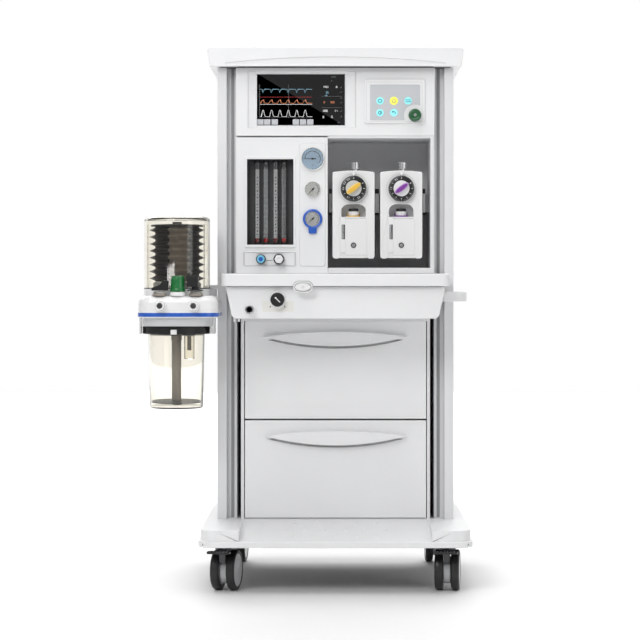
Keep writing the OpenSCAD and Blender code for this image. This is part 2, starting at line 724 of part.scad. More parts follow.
module dial(side, c) place() color(c) translate([vap_x(side), 0, dial_z]) {
    bar_y(0, 0, dial_r, vap_y - gap - 18, vap_y - gap);
    bar_y(0, 0, dial_spindle_r, vap_y - gap, vap_y + 28);
    rotate([0, -grip_turn, 0]) plate(0, 0, 44, 15, 7, vap_y - gap - 32, vap_y - gap - 18);
}

module left_dial() dial(-1, "gold");
module right_dial() dial(1, "purple");

module lock_knob(side) place() color("silver") translate([vap_x(side) + lock_dx, lock_y, 0]) {
    top = vap_z + vap_h;
    bar_z(0, 0, 11.5, top + 6, top + 24.5);
    bar_z(0, 0, 7, top + gap, top + 6);
    bar_z(0, 0, lock_spindle_r, top - 28, top + gap);
}

module left_lock_knob() lock_knob(-1);
module right_lock_knob() lock_knob(1);

module filler_cap(side) place() color("black") translate([vap_x(side), filler_y, 0]) {
    bar_z(0, 0, 13, filler_z + gap, filler_z + 8);
    bar_z(0, 0, filler_plug_r, filler_z - 14, filler_z + gap);
}

module left_filler_cap() filler_cap(-1);
module right_filler_cap() filler_cap(1);

module back_bar() place() color("white") difference() {
    union() {
        box([flow_x1, bar_y0, bar_z0], [bay_x1, bar_y0 + bar_d, bar_z0 + bar_h]);
        for (x = [flow_x1 + 6, bay_mid, bay_x1 - 6])
            box([x - 6, bar_y0 + bar_d, bar_z0], [x + 6, bay_d, bar_z0 + bar_h]);
    }
    bar_x(bar_y0 + bar_d / 2, bar_z0 + bar_h / 2, 6, flow_x1 - 1, bay_x1 + 1);
}

// ---------------------------------------------------------------- drawers

cab_wall = 3;
cab_frame = 8;
drawers_top = apron_z - 10;
drawer_h = (drawers_top - deck_z - drawer_gap - 4) / 2;
drawer_w = cabinet_w - 2 * cab_frame - 2 * drawer_gap + 2;
drawer_z = [deck_z + drawer_gap, deck_z + drawer_gap + drawer_h + 4];
drawer_box_w = cabinet_w - 36;
drawer_box_d = column_d - drawer_front_t - 25;
drawer_box_h = drawer_h - 58;
drawer_wall = 2;
rail_z = 90;                              // middle of a rail above the drawer's lower edge
rail_h = 30;
runner_h = 22;
grip_rise = 13;
grip_sag = 24;
grip_proud = 18;
grip_drop = 39;                           // the grip's ends below the top of the drawer

module drawer_cabinet() place() color("whitesmoke") difference() {
    box([-cabinet_w / 2, 0, deck_z], [cabinet_w / 2, column_d, worktop_z - worktop_t]);
    // drawer space, its framed mouth and the open-topped control space above it
    box([-cabinet_w / 2 + cab_wall, cab_frame, deck_z + cab_wall],
        [cabinet_w / 2 - cab_wall, column_d - cab_wall, drawers_top]);
    box([-cabinet_w / 2 + cab_frame, -1, deck_z + 1],
        [cabinet_w / 2 - cab_frame, cab_frame + 1, drawers_top]);
    box([-cabinet_w / 2 + cab_wall, cab_frame, drawers_top + cab_wall],
        [cabinet_w / 2 - cab_wall, column_d - cab_wall, worktop_z - worktop_t + 1]);
    plate(mains_at[0], mains_at[1], mains_size[0] + 2, mains_size[1] + 2, 3,
          column_d - cab_wall - 1, column_d + 1);
    for (i = [-1 : 1]) bar_y(i * inlet_pitch, inlet_z, inlet_r + gap, column_d - cab_wall - 1, column_d + 1);
}

// Four fixed C-rails on the inside of the cabinet
module drawer_slides() place() color("silver")
    for (s = [0, 1], z = drawer_z) mirror([s, 0, 0]) difference() {
        box([drawer_box_w / 2 + 2, drawer_front_t + 4, z + rail_z - rail_h / 2],
            [cabinet_w / 2 - cab_wall, column_d - cab_wall - 2, z + rail_z + rail_h / 2]);
        box([drawer_box_w / 2 + 1, drawer_front_t + 3, z + rail_z - runner_h / 2 - 1],
            [cabinet_w / 2 - cab_wall - 3, column_d - cab_wall - 5, z + rail_z + runner_h / 2 + 1]);
    }

// Crescent between two arcs; t shrinks it on every side
module crescent(t) {
    half = grip_w / 2;
    up = (half * half + grip_rise * grip_rise) / (2 * grip_rise);
    down = (half * half + grip_sag * grip_sag) / (2 * grip_sag);
    intersection() {
        translate([0, grip_rise - up]) circle(up - t, $fn = 200);
        translate([0, down - grip_sag]) circle(down - t, $fn = 200);
    }
}

module drawer(i) place() color("white") translate([0, 0, drawer_z[i]]) {
    difference() {
        union() {
            box([-drawer_w / 2, 0, 0], [drawer_w / 2, drawer_front_t, drawer_h]);
            translate([0, 0, drawer_h - grip_drop]) sweep_y(-grip_proud, 1) crescent(0);
        }
        // finger pocket, open below, behind a 4 mm lip
        translate([0, 0, drawer_h - grip_drop]) sweep_y(-grip_proud + 4, drawer_front_t - 4)
            translate([0, -8]) crescent(2);
    }
    z0 = 20;
    difference() {
        box([-drawer_box_w / 2, drawer_front_t, z0],
            [drawer_box_w / 2, drawer_front_t + drawer_box_d, z0 + drawer_box_h]);
        box([-drawer_box_w / 2 + drawer_wall, drawer_front_t + drawer_wall, z0 + drawer_wall],
            [drawer_box_w / 2 - drawer_wall, drawer_front_t + drawer_box_d - drawer_wall,
             z0 + drawer_box_h + 1]);
    }
    for (s = [0, 1]) mirror([s, 0, 0])
        box([drawer_box_w / 2, drawer_front_t + 6, rail_z - runner_h / 2],
            [cabinet_w / 2 - cab_frame - 2 * gap, drawer_front_t + drawer_box_d, rail_z + runner_h / 2]);
}

module lower_drawer() drawer(0);
module upper_drawer() drawer(1);

// ---------------------------------------------------------------- absorber

block_z = 687;
block_top = 728;
block_mid = block_back - block_d / 2;
band_h = 10.5;
skirt_z = 653;
dome_at = [block_x - 10, block_back - 88];
dome_z = 746;
dome_wall = 3;
can_at = [block_x - 10, block_back - 110];
can_wall = 3;
ring_z = 633;
ring_r = 84;
spigot_r = 78;
ring_gap = 6;                             // room between the jar and the ring's bore
skirt_w = 172;
tab_w = [5, 12];                          // left and right side tabs
tab_half = 35;
bellows_z = dome_z + 17;
bellows_r = 70;
pleats = 8;
apl_at = [block_x, block_back - 198];
apl_z = 738;
apl_spindle_r = 5;
port_dx = 41;
port_z = 704;
port_r = 11;
port_bore_r = 7.5;
port_l = 25;
port_depth = 45;
valve_dx = 45;
valve_at_y = block_back - 200;

module absorber_block() place() color("white") {
    difference() {
        union() {
            intersection() {
                slab([block_x, block_mid, block_z], block_w, block_d, block_top - block_z + 1, 40);
                sweep_y(block_mid - block_d / 2 - 1, block_mid + block_d / 2 + 1) translate([block_x, 0])
                    polygon(concat([[-block_w / 2, block_z - 1], [-block_w / 2, block_z + 4]],
                                   arc([-block_w / 2 + 23, block_top - 20], 20, 180, 90),
                                   arc([block_w / 2 - 23, block_top - 20], 20, 90, 0),
                                   [[block_w / 2, block_z + 4], [block_w / 2, block_z - 1]]));
            }
            slab([block_x, block_mid, block_z - band_h], block_w + 2 * band_over, block_d + 4, band_h, 42);
            slab([block_x - 2, block_mid - 2, skirt_z], skirt_w, block_d - 20,
                 block_z - band_h - skirt_z, 40);
            bar_z(dome_at[0], dome_at[1], dome_r + 1, block_top - 2, dome_z);
            bar_z(dome_at[0], dome_at[1], bellows_r - 10, dome_z - 1, bellows_z);
            bar_z(apl_at[0], apl_at[1], 20, block_top - 2, apl_z);
            bar_z(can_at[0], can_at[1], spigot_r, ring_z + 10, skirt_z + 1);
            for (s = [-1, 1])
                bar_y(block_x + s * port_dx, port_z, port_r, block_mid - block_d / 2 - port_l, block_mid);
            for (x = [[left_edge, left_edge + tab_w[0]],
                      [can_at[0] + ring_r + 1, can_at[0] + ring_r + 1 + tab_w[1]]])
                box([x[0], can_at[1] - tab_half, ring_z], [x[1], can_at[1] + tab_half, block_z - band_h + 1]);
        }
        for (s = [-1, 1])
            bar_y(block_x + s * port_dx, port_z, port_bore_r, block_mid - block_d / 2 - port_l - 1,
                  block_mid - block_d / 2 - port_l + port_depth);
        bar_z(apl_at[0], apl_at[1], apl_spindle_r + fit, block_top - 18, apl_z + 1);
        bar_z(can_at[0], can_at[1], canister_r + gap, ring_z, skirt_z + 1);
        bar_z(can_at[0], can_at[1], canister_r - 8, ring_z, skirt_z + 12);
    }
}

// One-way valves: a clear cap over a seat, left and right of the pressure-limiting valve
module check_valves() place() color("khaki")
    for (s = [-1, 1]) {
        bar_z(block_x + s * valve_dx, valve_at_y, 18, block_top, block_top + 6);
        bar_z(block_x + s * valve_dx, valve_at_y, 15, block_top + 6, block_top + 12);
    }

module absorber_arm() place() color("gainsboro") difference() {
    union() {
        bar_z(hinge[0], hinge[1], 14, hinge_z[0], hinge_z[1]);
        box([hinge[0] - 120, block_back, hinge_z[0] + 4], [hinge[0], block_back + 12, hinge_z[1] - 4]);
    }
    bar_z(hinge[0], hinge[1], hinge_pin_r + fit, hinge_z[0] - 1, hinge_z[1] + 1);
}

module bellows_dome() place() color("azure") difference() {
    bar_z(dome_at[0], dome_at[1], dome_r, dome_z, dome_z + dome_h);
    bar_z(dome_at[0], dome_at[1], dome_r - dome_wall, dome_z - 1, dome_z + dome_h - dome_wall);
}

module bellows() place() color("black") translate([dome_at[0], dome_at[1], bellows_z]) {
    pitch = bellows_h / pleats;
    rotate_extrude() polygon(concat(
        [[bellows_r - 18, bellows_h], [bellows_r - 18, 0]],
        [for (i = [0 : pleats - 1]) each [[bellows_r - 14, i * pitch], [bellows_r, (i + 0.5) * pitch]]],
        [[bellows_r - 14, bellows_h]]));
}

module bellows_plate() place() color("dimgray") {
    bar_z(dome_at[0], dome_at[1], bellows_r - 4, bellows_z + bellows_h, bellows_z + bellows_h + 5);
    bar_z(dome_at[0], dome_at[1], 12, bellows_z + bellows_h + 5, bellows_z + bellows_h + 12);
}

module apl_knob() place() color("green") {
    bar_z(apl_at[0], apl_at[1], 19, apl_z + gap, apl_z + 8);
    bar_z(apl_at[0], apl_at[1], 17.5, apl_z + 8, apl_z + 40);
    bar_z(apl_at[0], apl_at[1], apl_spindle_r, block_top - 16, apl_z + gap);
}

can_top = skirt_z - 2;
can_z = can_top - canister_h;

// Clear jar with a perforated screen, a centre tube and a small water trap beside it
module canister() place() color("lightyellow") {
    difference() {
        bar_z(can_at[0], can_at[1], canister_r, can_z, can_top);
        bar_z(can_at[0], can_at[1], canister_r - can_wall, can_z + 4, can_top + 1);
    }
    difference() {
        bar_z(can_at[0], can_at[1], canister_r - can_wall - 1, can_z + 14, can_z + 17);
        for (a = [0 : 30 : 330]) translate([can_at[0] + 45 * cos(a), can_at[1] + 45 * sin(a), can_z + 10])
            cylinder(r = 4, h = 10);
    }
    difference() {
        bar_z(can_at[0], can_at[1], 12, can_z + 17, can_top - 2);
        bar_z(can_at[0], can_at[1], 9, can_z + 16, can_top);
    }
    difference() {
        bar_z(can_at[0] + 34, can_at[1] - 30, 13, can_z + 17, can_top - 20);
        bar_z(can_at[0] + 34, can_at[1] - 30, 11, can_z + 19, can_top - 19);
    }
}

module canister_ring() place() color("black") difference() {
    union() {
        bar_z(can_at[0], can_at[1], ring_r, ring_z, skirt_z - gap);
        translate([can_at[0], can_at[1] - ring_r, ring_z]) slab([0, 0, 0], 16, 18, 12, 4);
    }
    bar_z(can_at[0], can_at[1], canister_r + ring_gap, ring_z - 1, skirt_z + 1);
    bar_z(can_at[0], can_at[1], spigot_r + gap, ring_z + 10 - gap, skirt_z + 1);
}

base_cover();
base_chassis();
side_columns();
drawer_cabinet();
rear_cover();
worktop();
worktop_apron();
top_shelf();
head_housing();
display_fascia();
flow_fascia();
side_handle();
upper_drawer();
lower_drawer();
drawer_slides();
display_screen();
keypad_overlay();
encoder_shaft();
encoder_knob();
gauge_cases();
gauge_lenses();
airway_needle();
supply_needle();
suction_needle();
flow_tubes();
n2o_floats();
o2_floats();
n2o_knob();
o2_knob();
back_bar();
left_vaporizer();
right_vaporizer();
left_dial();
right_dial();
left_lock_knob();
right_lock_knob();
left_filler_cap();
right_filler_cap();
o2_flush_button();
gas_fittings();
outlet_selector_knob();
absorber_arm();
absorber_block();
check_valves();
bellows_dome();
bellows();
bellows_plate();
apl_knob();
canister();
canister_ring();
front_left_fork();
front_right_fork();
rear_left_fork();
rear_right_fork();
front_left_wheels();
front_right_wheels();
rear_left_wheels();
rear_right_wheels();
front_left_brake_pedal();
front_right_brake_pedal();
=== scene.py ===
"""Looks of a mobile anaesthesia machine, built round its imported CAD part.

Sizes are in millimetres of the machine's own frame: x from its middle plane, y from the front face
of its columns towards the back, z from the floor. at() turns them into the row frame.
"""

import json
import math

import bmesh  # noqa: E402
import bpy  # noqa: E402
from mathutils import Matrix, Vector  # noqa: E402

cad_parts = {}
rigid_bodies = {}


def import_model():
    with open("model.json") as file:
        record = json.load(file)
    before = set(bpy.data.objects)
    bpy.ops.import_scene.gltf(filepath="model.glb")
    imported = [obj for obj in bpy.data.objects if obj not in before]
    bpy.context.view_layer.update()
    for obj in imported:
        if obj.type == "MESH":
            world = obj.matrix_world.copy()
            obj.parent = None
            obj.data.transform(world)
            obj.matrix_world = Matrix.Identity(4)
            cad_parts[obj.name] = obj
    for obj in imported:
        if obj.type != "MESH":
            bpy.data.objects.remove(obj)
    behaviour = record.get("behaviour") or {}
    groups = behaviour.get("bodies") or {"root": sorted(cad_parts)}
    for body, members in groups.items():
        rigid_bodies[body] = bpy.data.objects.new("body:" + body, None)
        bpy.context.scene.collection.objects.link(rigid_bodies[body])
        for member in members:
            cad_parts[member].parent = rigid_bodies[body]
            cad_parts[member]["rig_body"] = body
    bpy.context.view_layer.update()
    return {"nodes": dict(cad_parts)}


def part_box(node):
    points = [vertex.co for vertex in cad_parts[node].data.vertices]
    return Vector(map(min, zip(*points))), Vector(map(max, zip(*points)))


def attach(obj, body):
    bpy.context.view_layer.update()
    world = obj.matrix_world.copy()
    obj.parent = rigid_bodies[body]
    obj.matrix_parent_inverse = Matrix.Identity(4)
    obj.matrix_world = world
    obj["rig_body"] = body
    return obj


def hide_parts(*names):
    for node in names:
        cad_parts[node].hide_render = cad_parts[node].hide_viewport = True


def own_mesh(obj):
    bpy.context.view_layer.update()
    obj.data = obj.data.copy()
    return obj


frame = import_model()
scene = bpy.context.scene

MID = (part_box("base_cover")[0].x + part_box("base_cover")[1].x) / 2
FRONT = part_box("drawer_cabinet")[0].y


def at(x, y, z):
    return Vector((MID + x / 1000, FRONT + y / 1000, z / 1000))


def mm(node):
    """Corners of a CAD node in machine millimetres."""
    return [Vector(((p.x - MID) * 1000, (p.y - FRONT) * 1000, p.z * 1000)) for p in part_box(node)]


def middle(node):
    lo, hi = mm(node)
    return (lo + hi) / 2


# ---------------------------------------------------------------- materials


def node_tree(name, color, rough, metal=0.0):
    mat = bpy.data.materials.new(name)
    mat.use_nodes = True
    tree = mat.node_tree
    shader = tree.nodes["Principled BSDF"]
    shader.inputs["Base Color"].default_value = (*color, 1)
    shader.inputs["Roughness"].default_value = rough
    shader.inputs["Metallic"].default_value = metal
    return mat, tree, shader


def coordinates(tree, stretch=(1, 1, 1)):
    place = tree.nodes.new("ShaderNodeTexCoord")
    scale = tree.nodes.new("ShaderNodeMapping")
    scale.inputs["Scale"].default_value = stretch
    tree.links.new(place.outputs["Object"], scale.inputs["Vector"])
    return scale.outputs["Vector"]


def noise(tree, scale, detail=3.0, stretch=(1, 1, 1)):
    n = tree.nodes.new("ShaderNodeTexNoise")
    n.inputs["Scale"].default_value = scale
    n.inputs["Detail"].default_value = detail
    tree.links.new(coordinates(tree, stretch), n.inputs["Vector"])
    return n.outputs["Fac"]


def ranged(tree, value, lo, hi, source=(0.35, 0.65)):
    m = tree.nodes.new("ShaderNodeMapRange")
    m.inputs["From Min"].default_value, m.inputs["From Max"].default_value = source
    m.inputs["To Min"].default_value, m.inputs["To Max"].default_value = lo, hi
    tree.links.new(value, m.inputs["Value"])
    return m.outputs["Result"]


def blended(tree, value, a, b, source=(0.35, 0.65)):
    ramp = tree.nodes.new("ShaderNodeValToRGB")
    ramp.color_ramp.elements[0].position, ramp.color_ramp.elements[1].position = source
    ramp.color_ramp.elements[0].color = (*a, 1)
    ramp.color_ramp.elements[1].color = (*b, 1)
    tree.links.new(value, ramp.inputs["Fac"])
    return ramp.outputs["Color"]


def bumped(tree, shader, height, depth, strength=0.6):
    b = tree.nodes.new("ShaderNodeBump")
    b.inputs["Distance"].default_value = depth
    b.inputs["Strength"].default_value = strength
    tree.links.new(height, b.inputs["Height"])
    tree.links.new(b.outputs["Normal"], shader.inputs["Normal"])


def plastic(name, color, rough, grain=900.0, depth=0.00004, vary=0.05, coat=0.0, tint=0.97):
    """Moulded plastic or paint: fine grain in the surface, slight changes of tone and of gloss."""
    mat, tree, shader = node_tree(name, color, rough)
    tone = noise(tree, 5.0, 4.0)
    tree.links.new(blended(tree, tone, tuple(c * tint for c in color), color), shader.inputs["Base Color"])
    gloss = noise(tree, 22.0, 5.0)
    tree.links.new(ranged(tree, gloss, rough - vary, rough + vary), shader.inputs["Roughness"])
    bumped(tree, shader, noise(tree, grain, 2.0), depth, 0.5)
    shader.inputs["Coat Weight"].default_value = coat
    shader.inputs["Coat Roughness"].default_value = 0.08
    return mat


def metal(name, color, rough, stretch=(1, 1, 1), grain=400.0, depth=0.00002, vary=0.06):
    mat, tree, shader = node_tree(name, color, rough, 1.0)
    lines = noise(tree, grain, 3.0, stretch)
    tree.links.new(ranged(tree, lines, rough - vary, rough + vary), shader.inputs["Roughness"])
    tree.links.new(blended(tree, lines, tuple(c * 0.9 for c in color), color), shader.inputs["Base Color"])
    bumped(tree, shader, lines, depth, 0.4)
    return mat


def clear(name, color, rough=0.02):
    """Clear moulded plastic with faint flow marks."""
    mat, tree, shader = node_tree(name, color, rough)
    shader.inputs["Transmission Weight"].default_value = 1.0
    shader.inputs["IOR"].default_value = 1.45
    tree.links.new(ranged(tree, noise(tree, 12.0, 3.0), rough, rough + 0.02), shader.inputs["Roughness"])
    bumped(tree, shader, noise(tree, 18.0, 1.0), 0.0002, 0.15)
    return mat


def lit(name, color, power):
    """Printed or lit mark; power 0 is plain ink."""
    mat, tree, shader = node_tree(name, color, 0.4)
    grain = noise(tree, 60.0, 2.0)
    tree.links.new(blended(tree, grain, tuple(c * 0.93 for c in color), color), shader.inputs["Base Color"])
    shader.inputs["Emission Color"].default_value = (*color, 1)
    shader.inputs["Emission Strength"].default_value = power
    return mat


WHITE = plastic("moulded_white", (0.83, 0.835, 0.84), 0.38)
PAINT = plastic("powder_coat_white", (0.76, 0.765, 0.775), 0.48, grain=420.0, depth=0.00008)
DRAWER = plastic("drawer_satin_white", (0.84, 0.845, 0.85), 0.33)
GLOSS = plastic("gloss_white", (0.85, 0.85, 0.85), 0.22, grain=120.0, depth=0.00003, coat=0.5)
LIGHT_GREY = plastic("light_grey_plastic", (0.58, 0.59, 0.60), 0.35, coat=0.2)
MID_GREY = plastic("mid_grey_plastic", (0.30, 0.305, 0.31), 0.42)
DARK_GREY = plastic("dark_grey_plastic", (0.07, 0.072, 0.075), 0.42)
BLACK = plastic("black_plastic", (0.012, 0.012, 0.013), 0.34, tint=0.7)
CHARCOAL = plastic("flow_backing", (0.075, 0.075, 0.078), 0.55)
STEEL_BLACK = plastic("chassis_powder_coat", (0.03, 0.03, 0.032), 0.5, grain=420.0, depth=0.0001)
RUBBER = plastic("tyre_rubber", (0.016, 0.016, 0.017), 0.42, grain=260.0, depth=0.00015, vary=0.12, tint=0.6)
ZINC = metal("zinc_plate", (0.62, 0.63, 0.65), 0.36, grain=90.0)
BRUSHED = metal("brushed_metal", (0.78, 0.78, 0.79), 0.27, stretch=(1, 1, 14), grain=160.0)
CHROME = metal("polished_metal", (0.86, 0.86, 0.88), 0.1, vary=0.03)
GREEN = plastic("green_plastic", (0.012, 0.16, 0.04), 0.3, coat=0.3, tint=0.85)
DEEP_GREEN = plastic("dark_green_plastic", (0.01, 0.10, 0.03), 0.3, coat=0.3, tint=0.8)
BLUE = plastic("blue_plastic", (0.02, 0.11, 0.52), 0.26, coat=0.4, tint=0.9)
SKY = plastic("sky_blue_plastic", (0.16, 0.52, 0.72), 0.3, coat=0.2)
YELLOW = plastic("amber_plastic", (0.86, 0.52, 0.07), 0.32, coat=0.2, tint=0.93)
PURPLE = plastic("purple_plastic", (0.23, 0.045, 0.36), 0.32, coat=0.2, tint=0.9)
TAUPE = plastic("taupe_plastic", (0.30, 0.27, 0.235), 0.4)
SMOKE = clear("clear_amber_plastic", (0.985, 0.962, 0.90))
GLASS = clear("clear_glass", (0.985, 0.99, 0.99))
SCREEN = plastic("screen_glass", (0.004, 0.004, 0.005), 0.09, grain=300.0, depth=0.000005, vary=0.02,
        coat=0.6)
FILM = plastic("keypad_film_grey", (0.56, 0.575, 0.60), 0.42, grain=1400.0)
DIAL_FACE = plastic("dial_cream", (0.80, 0.79, 0.75), 0.4)
DIAL_BLUE = plastic("dial_pale_blue", (0.52, 0.68, 0.84), 0.35)
INK = lit("black_ink", (0.015, 0.015, 0.017), 0.0)
GREY_INK = lit("grey_ink", (0.22, 0.23, 0.25), 0.0)
WHITE_INK = lit("white_ink", (0.85, 0.85, 0.85), 0.0)
RED = plastic("red_float", (0.62, 0.012, 0.012), 0.3, coat=0.3, tint=0.85)
DARK_RED = plastic("dark_red_float", (0.24, 0.012, 0.014), 0.32, coat=0.3, tint=0.85)
TRACE_WHITE = lit("trace_white", (0.72, 0.74, 0.72), 0.35)
TRACE_BLUE = lit("trace_blue", (0.18, 0.34, 0.42), 0.45)
TRACE_RED = lit("trace_red", (0.55, 0.05, 0.05), 0.45)
TRACE_ORANGE = lit("trace_orange", (0.62, 0.22, 0.10), 0.4)
TRACE_GREY = lit("trace_grey", (0.16, 0.17, 0.17), 0.3)
CYAN_GLOW = lit("key_cyan", (0.30, 0.82, 0.86), 0.25)
YELLOW_GLOW = lit("key_yellow", (0.88, 0.84, 0.12), 0.3)
TEAL_INK = lit("key_mark_teal", (0.01, 0.16, 0.22), 0.0)


def bellows_rubber():
    """Black pleated rubber with a painted reflection: a lighter band down its front, as a softbox strip would
    mirror in it.
    """
    mat, tree, shader = node_tree("bellows_rubber", (0.012, 0.012, 0.013), 0.45)
    centre = at(DOME_X, DOME_Y, 0)
    place = tree.nodes.new("ShaderNodeTexCoord")
    split = tree.nodes.new("ShaderNodeSeparateXYZ")
    tree.links.new(place.outputs["Object"], split.inputs["Vector"])

    def less(value, number):
        m = tree.nodes.new("ShaderNodeMath")
        m.operation = "SUBTRACT"
        tree.links.new(value, m.inputs[0])
        m.inputs[1].default_value = number
        return m.outputs["Value"]

    turn = tree.nodes.new("ShaderNodeMath")
    turn.operation = "ARCTAN2"
    flip = tree.nodes.new("ShaderNodeMath")
    flip.operation = "MULTIPLY"
    flip.inputs[1].default_value = -1.0
    tree.links.new(less(split.outputs["Y"], centre.y), flip.inputs[0])
    tree.links.new(less(split.outputs["X"], centre.x), turn.inputs[0])
    tree.links.new(flip.outputs["Value"], turn.inputs[1])
    band = tree.nodes.new("ShaderNodeValToRGB")
    band.color_ramp.interpolation = "CONSTANT"
    scale = tree.nodes.new("ShaderNodeMapRange")
    scale.inputs["From Min"].default_value = -math.pi
    scale.inputs["From Max"].default_value = math.pi
    tree.links.new(turn.outputs["Value"], scale.inputs["Value"])
    tree.links.new(scale.outputs["Result"], band.inputs["Fac"])
    # painted reflection: the light tone covers a narrow arc facing the front
    dark, light = (0.012, 0.012, 0.013, 1), (0.235, 0.205, 0.175, 1)
    stops = band.color_ramp.elements
    stops[0].position, stops[0].color = 0.0, dark
    stops[1].position, stops[1].color = 0.5 - 16 / 360, light
    stops.new(0.5 + 32 / 360).color = dark
    tree.links.new(band.outputs["Color"], shader.inputs["Base Color"])
    bumped(tree, shader, noise(tree, 300.0, 3.0), 0.0001)
    tree.links.new(ranged(tree, noise(tree, 30.0, 3.0), 0.38, 0.55), shader.inputs["Roughness"])
    return mat


# ---------------------------------------------------------------- mesh tools


def body_of(node):
    return frame["nodes"][node]["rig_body"]


def add(name, mesh, body, mats, replaces=()):
    obj = bpy.data.objects.new(name, mesh)
    scene.collection.objects.link(obj)
    for m in mats if isinstance(mats, (list, tuple)) else [mats]:
        mesh.materials.append(m)
    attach(obj, body)
    if replaces:
        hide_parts(*replaces)
    return obj


def weigh_edges(mesh, width, angle):
    """Gives each sharp edge its share of the rounding: less where a short edge meets it at a corner."""
    bm = bmesh.new()
    bm.from_mesh(mesh)
    share = bm.edges.layers.float.new("bevel_weight_edge")
    for e in bm.edges:
        if len(e.link_faces) != 2 or e.calc_face_angle(0) < math.radians(angle):
            continue
        along = (e.verts[1].co - e.verts[0].co).normalized()
        room = 1.0
        for v in e.verts:
            for other in v.link_edges:
                step = other.verts[1].co - other.verts[0].co
                if other is not e and abs(step.normalized().dot(along)) < 0.8:
                    room = min(room, step.length)
        e[share] = min(1.0, 450 * room / width)
    bm.to_mesh(mesh)
    bm.free()


def soften(obj, width, segments=3, angle=30):
    """Rounds the sharp edges, and shades flat faces flat."""
    for p in obj.data.polygons:
        p.use_smooth = True
    if width:
        weigh_edges(obj.data, width, angle)
        b = obj.modifiers.new("edges", "BEVEL")
        b.width = width / 1000
        b.segments = segments
        b.limit_method = "WEIGHT"
        b.use_clamp_overlap = False
        w = obj.modifiers.new("shading", "WEIGHTED_NORMAL")
        w.keep_sharp = True
    else:
        obj.data.set_sharp_from_angle(angle=math.radians(angle))
    return obj


def tidy(bm, angle=0.8):
    bmesh.ops.remove_doubles(bm, verts=bm.verts, dist=2e-6)
    bmesh.ops.dissolve_limit(bm, angle_limit=math.radians(angle), verts=bm.verts, edges=bm.edges)
    bmesh.ops.recalc_face_normals(bm, faces=bm.faces)


def mesh_from(bm, name):
    mesh = bpy.data.meshes.new(name)
    bm.to_mesh(mesh)
    bm.free()
    return mesh


def refined(node, width, mat, segments=3, cuts=()):
    """The CAD node's own shape with rounded edges and clean faces; cuts split faces at these x."""
    bm = bmesh.new()
    bm.from_mesh(frame["nodes"][node].data)
    tidy(bm)
    for x in cuts:
        everything = bm.verts[:] + bm.edges[:] + bm.faces[:]
        bmesh.ops.bisect_plane(bm, geom=everything, dist=1e-6, plane_co=at(x, 0, 0), plane_no=(1, 0, 0))
    obj = add(node + "_fine", mesh_from(bm, node + "_fine"), body_of(node), mat, [node])
    return soften(obj, width, segments)


AXES = {
    "x": Matrix(((0, 0, 1), (1, 0, 0), (0, 1, 0))),
    "y": Matrix(((1, 0, 0), (0, 0, -1), (0, 1, 0))),
    "z": Matrix(((1, 0, 0), (0, 1, 0), (0, 0, 1))),
}


def extrusion(loops, axis, lo, hi):
    """Closed solid with an outline and any holes, drawn square to an axis, as a bmesh in the row frame."""
    curve = bpy.data.curves.new("outline", "CURVE")
    curve.dimensions = "2D"
    curve.fill_mode = "BOTH"
    for loop in loops:
        s = curve.splines.new("POLY")
        s.points.add(len(loop) - 1)
        for p, (u, v) in zip(s.points, loop):
            p.co = (u, v, 0, 1)
        s.use_cyclic_u = True
    curve.extrude = abs(hi - lo) / 2
    holder = bpy.data.objects.new("outline", curve)
    mesh = bpy.data.meshes.new_from_object(holder)
    bm = bmesh.new()
    bm.from_mesh(mesh)
    turn = AXES[axis]
    mid = Vector({"x": ((lo + hi) / 2, 0, 0), "y": (0, (lo + hi) / 2, 0), "z": (0, 0, (lo + hi) / 2)}[axis])
    for v in bm.verts:
        p = turn @ v.co + mid
        v.co = at(*p)
    tidy(bm)
    bpy.data.objects.remove(holder)
    bpy.data.meshes.remove(mesh)
    bpy.data.curves.remove(curve)
    return bm


def solid(name, loops, axis, lo, hi, body, mat, width=0.5, segments=3, **kw):
    loops = loops if isinstance(loops[0][0], (list, tuple)) else [loops]
    return soften(add(name, mesh_from(extrusion(loops, axis, lo, hi), name), body, mat, **kw), width,
                  segments)


def rounded(cx, cy, w, h, r, n=8):
    pts = []
    for sx, sy, a0 in ((1, 1, 0), (-1, 1, 90), (-1, -1, 180), (1, -1, 270)):
        for i in range(n + 1):
            a = math.radians(a0 + 90 * i / n)
            pts.append((cx + sx * (w / 2 - r) + r * math.cos(a), cy + sy * (h / 2 - r) + r * math.sin(a)))
    return pts


def oval(cx, cy, rx, ry=None, n=64):
    ry = rx if ry is None else ry
    return [(cx + rx * math.cos(2 * math.pi * i / n),
             cy + ry * math.sin(2 * math.pi * i / n)) for i in range(n)]


def turned(profile, centre, axis, n=72, flutes=None):
    """Solid of revolution from (radius, height) pairs; height runs along +z, +y or, for 'front', -y."""
    bm = bmesh.new()
    rings = []
    for r, h in profile:
        if r < 1e-6:
            ring = [bm.verts.new((0, 0, h))] * n
        else:
            ring = []
            for i in range(n):
                a = 2 * math.pi * i / n
                rr = r * (flutes(a, h) if flutes else 1)
                ring.append(bm.verts.new((rr * math.cos(a), rr * math.sin(a), h)))
        rings.append(ring)
    closed = profile[0] == profile[-1]
    if closed:
        for v in set(rings[-1]):
            bm.verts.remove(v)
        rings[-1] = rings[0]
    for a, b in zip(rings, rings[1:]):
        for i in range(n):
            j = (i + 1) % n
            corners = [a[i], a[j], b[j], b[i]]
            uniq = [v for k, v in enumerate(corners) if v not in corners[:k]]
            if len(uniq) > 2:
                bm.faces.new(uniq)
    turn = {"z": Matrix.Identity(3), "y": Matrix(((1, 0, 0), (0, 0, 1), (0, -1, 0))),
            "front": Matrix(((1, 0, 0), (0, 0, -1), (0, 1, 0)))}
    for v in bm.verts:
        v.co = at(*(turn[axis] @ v.co + Vector(centre)))
    bmesh.ops.recalc_face_normals(bm, faces=bm.faces)
    return bm


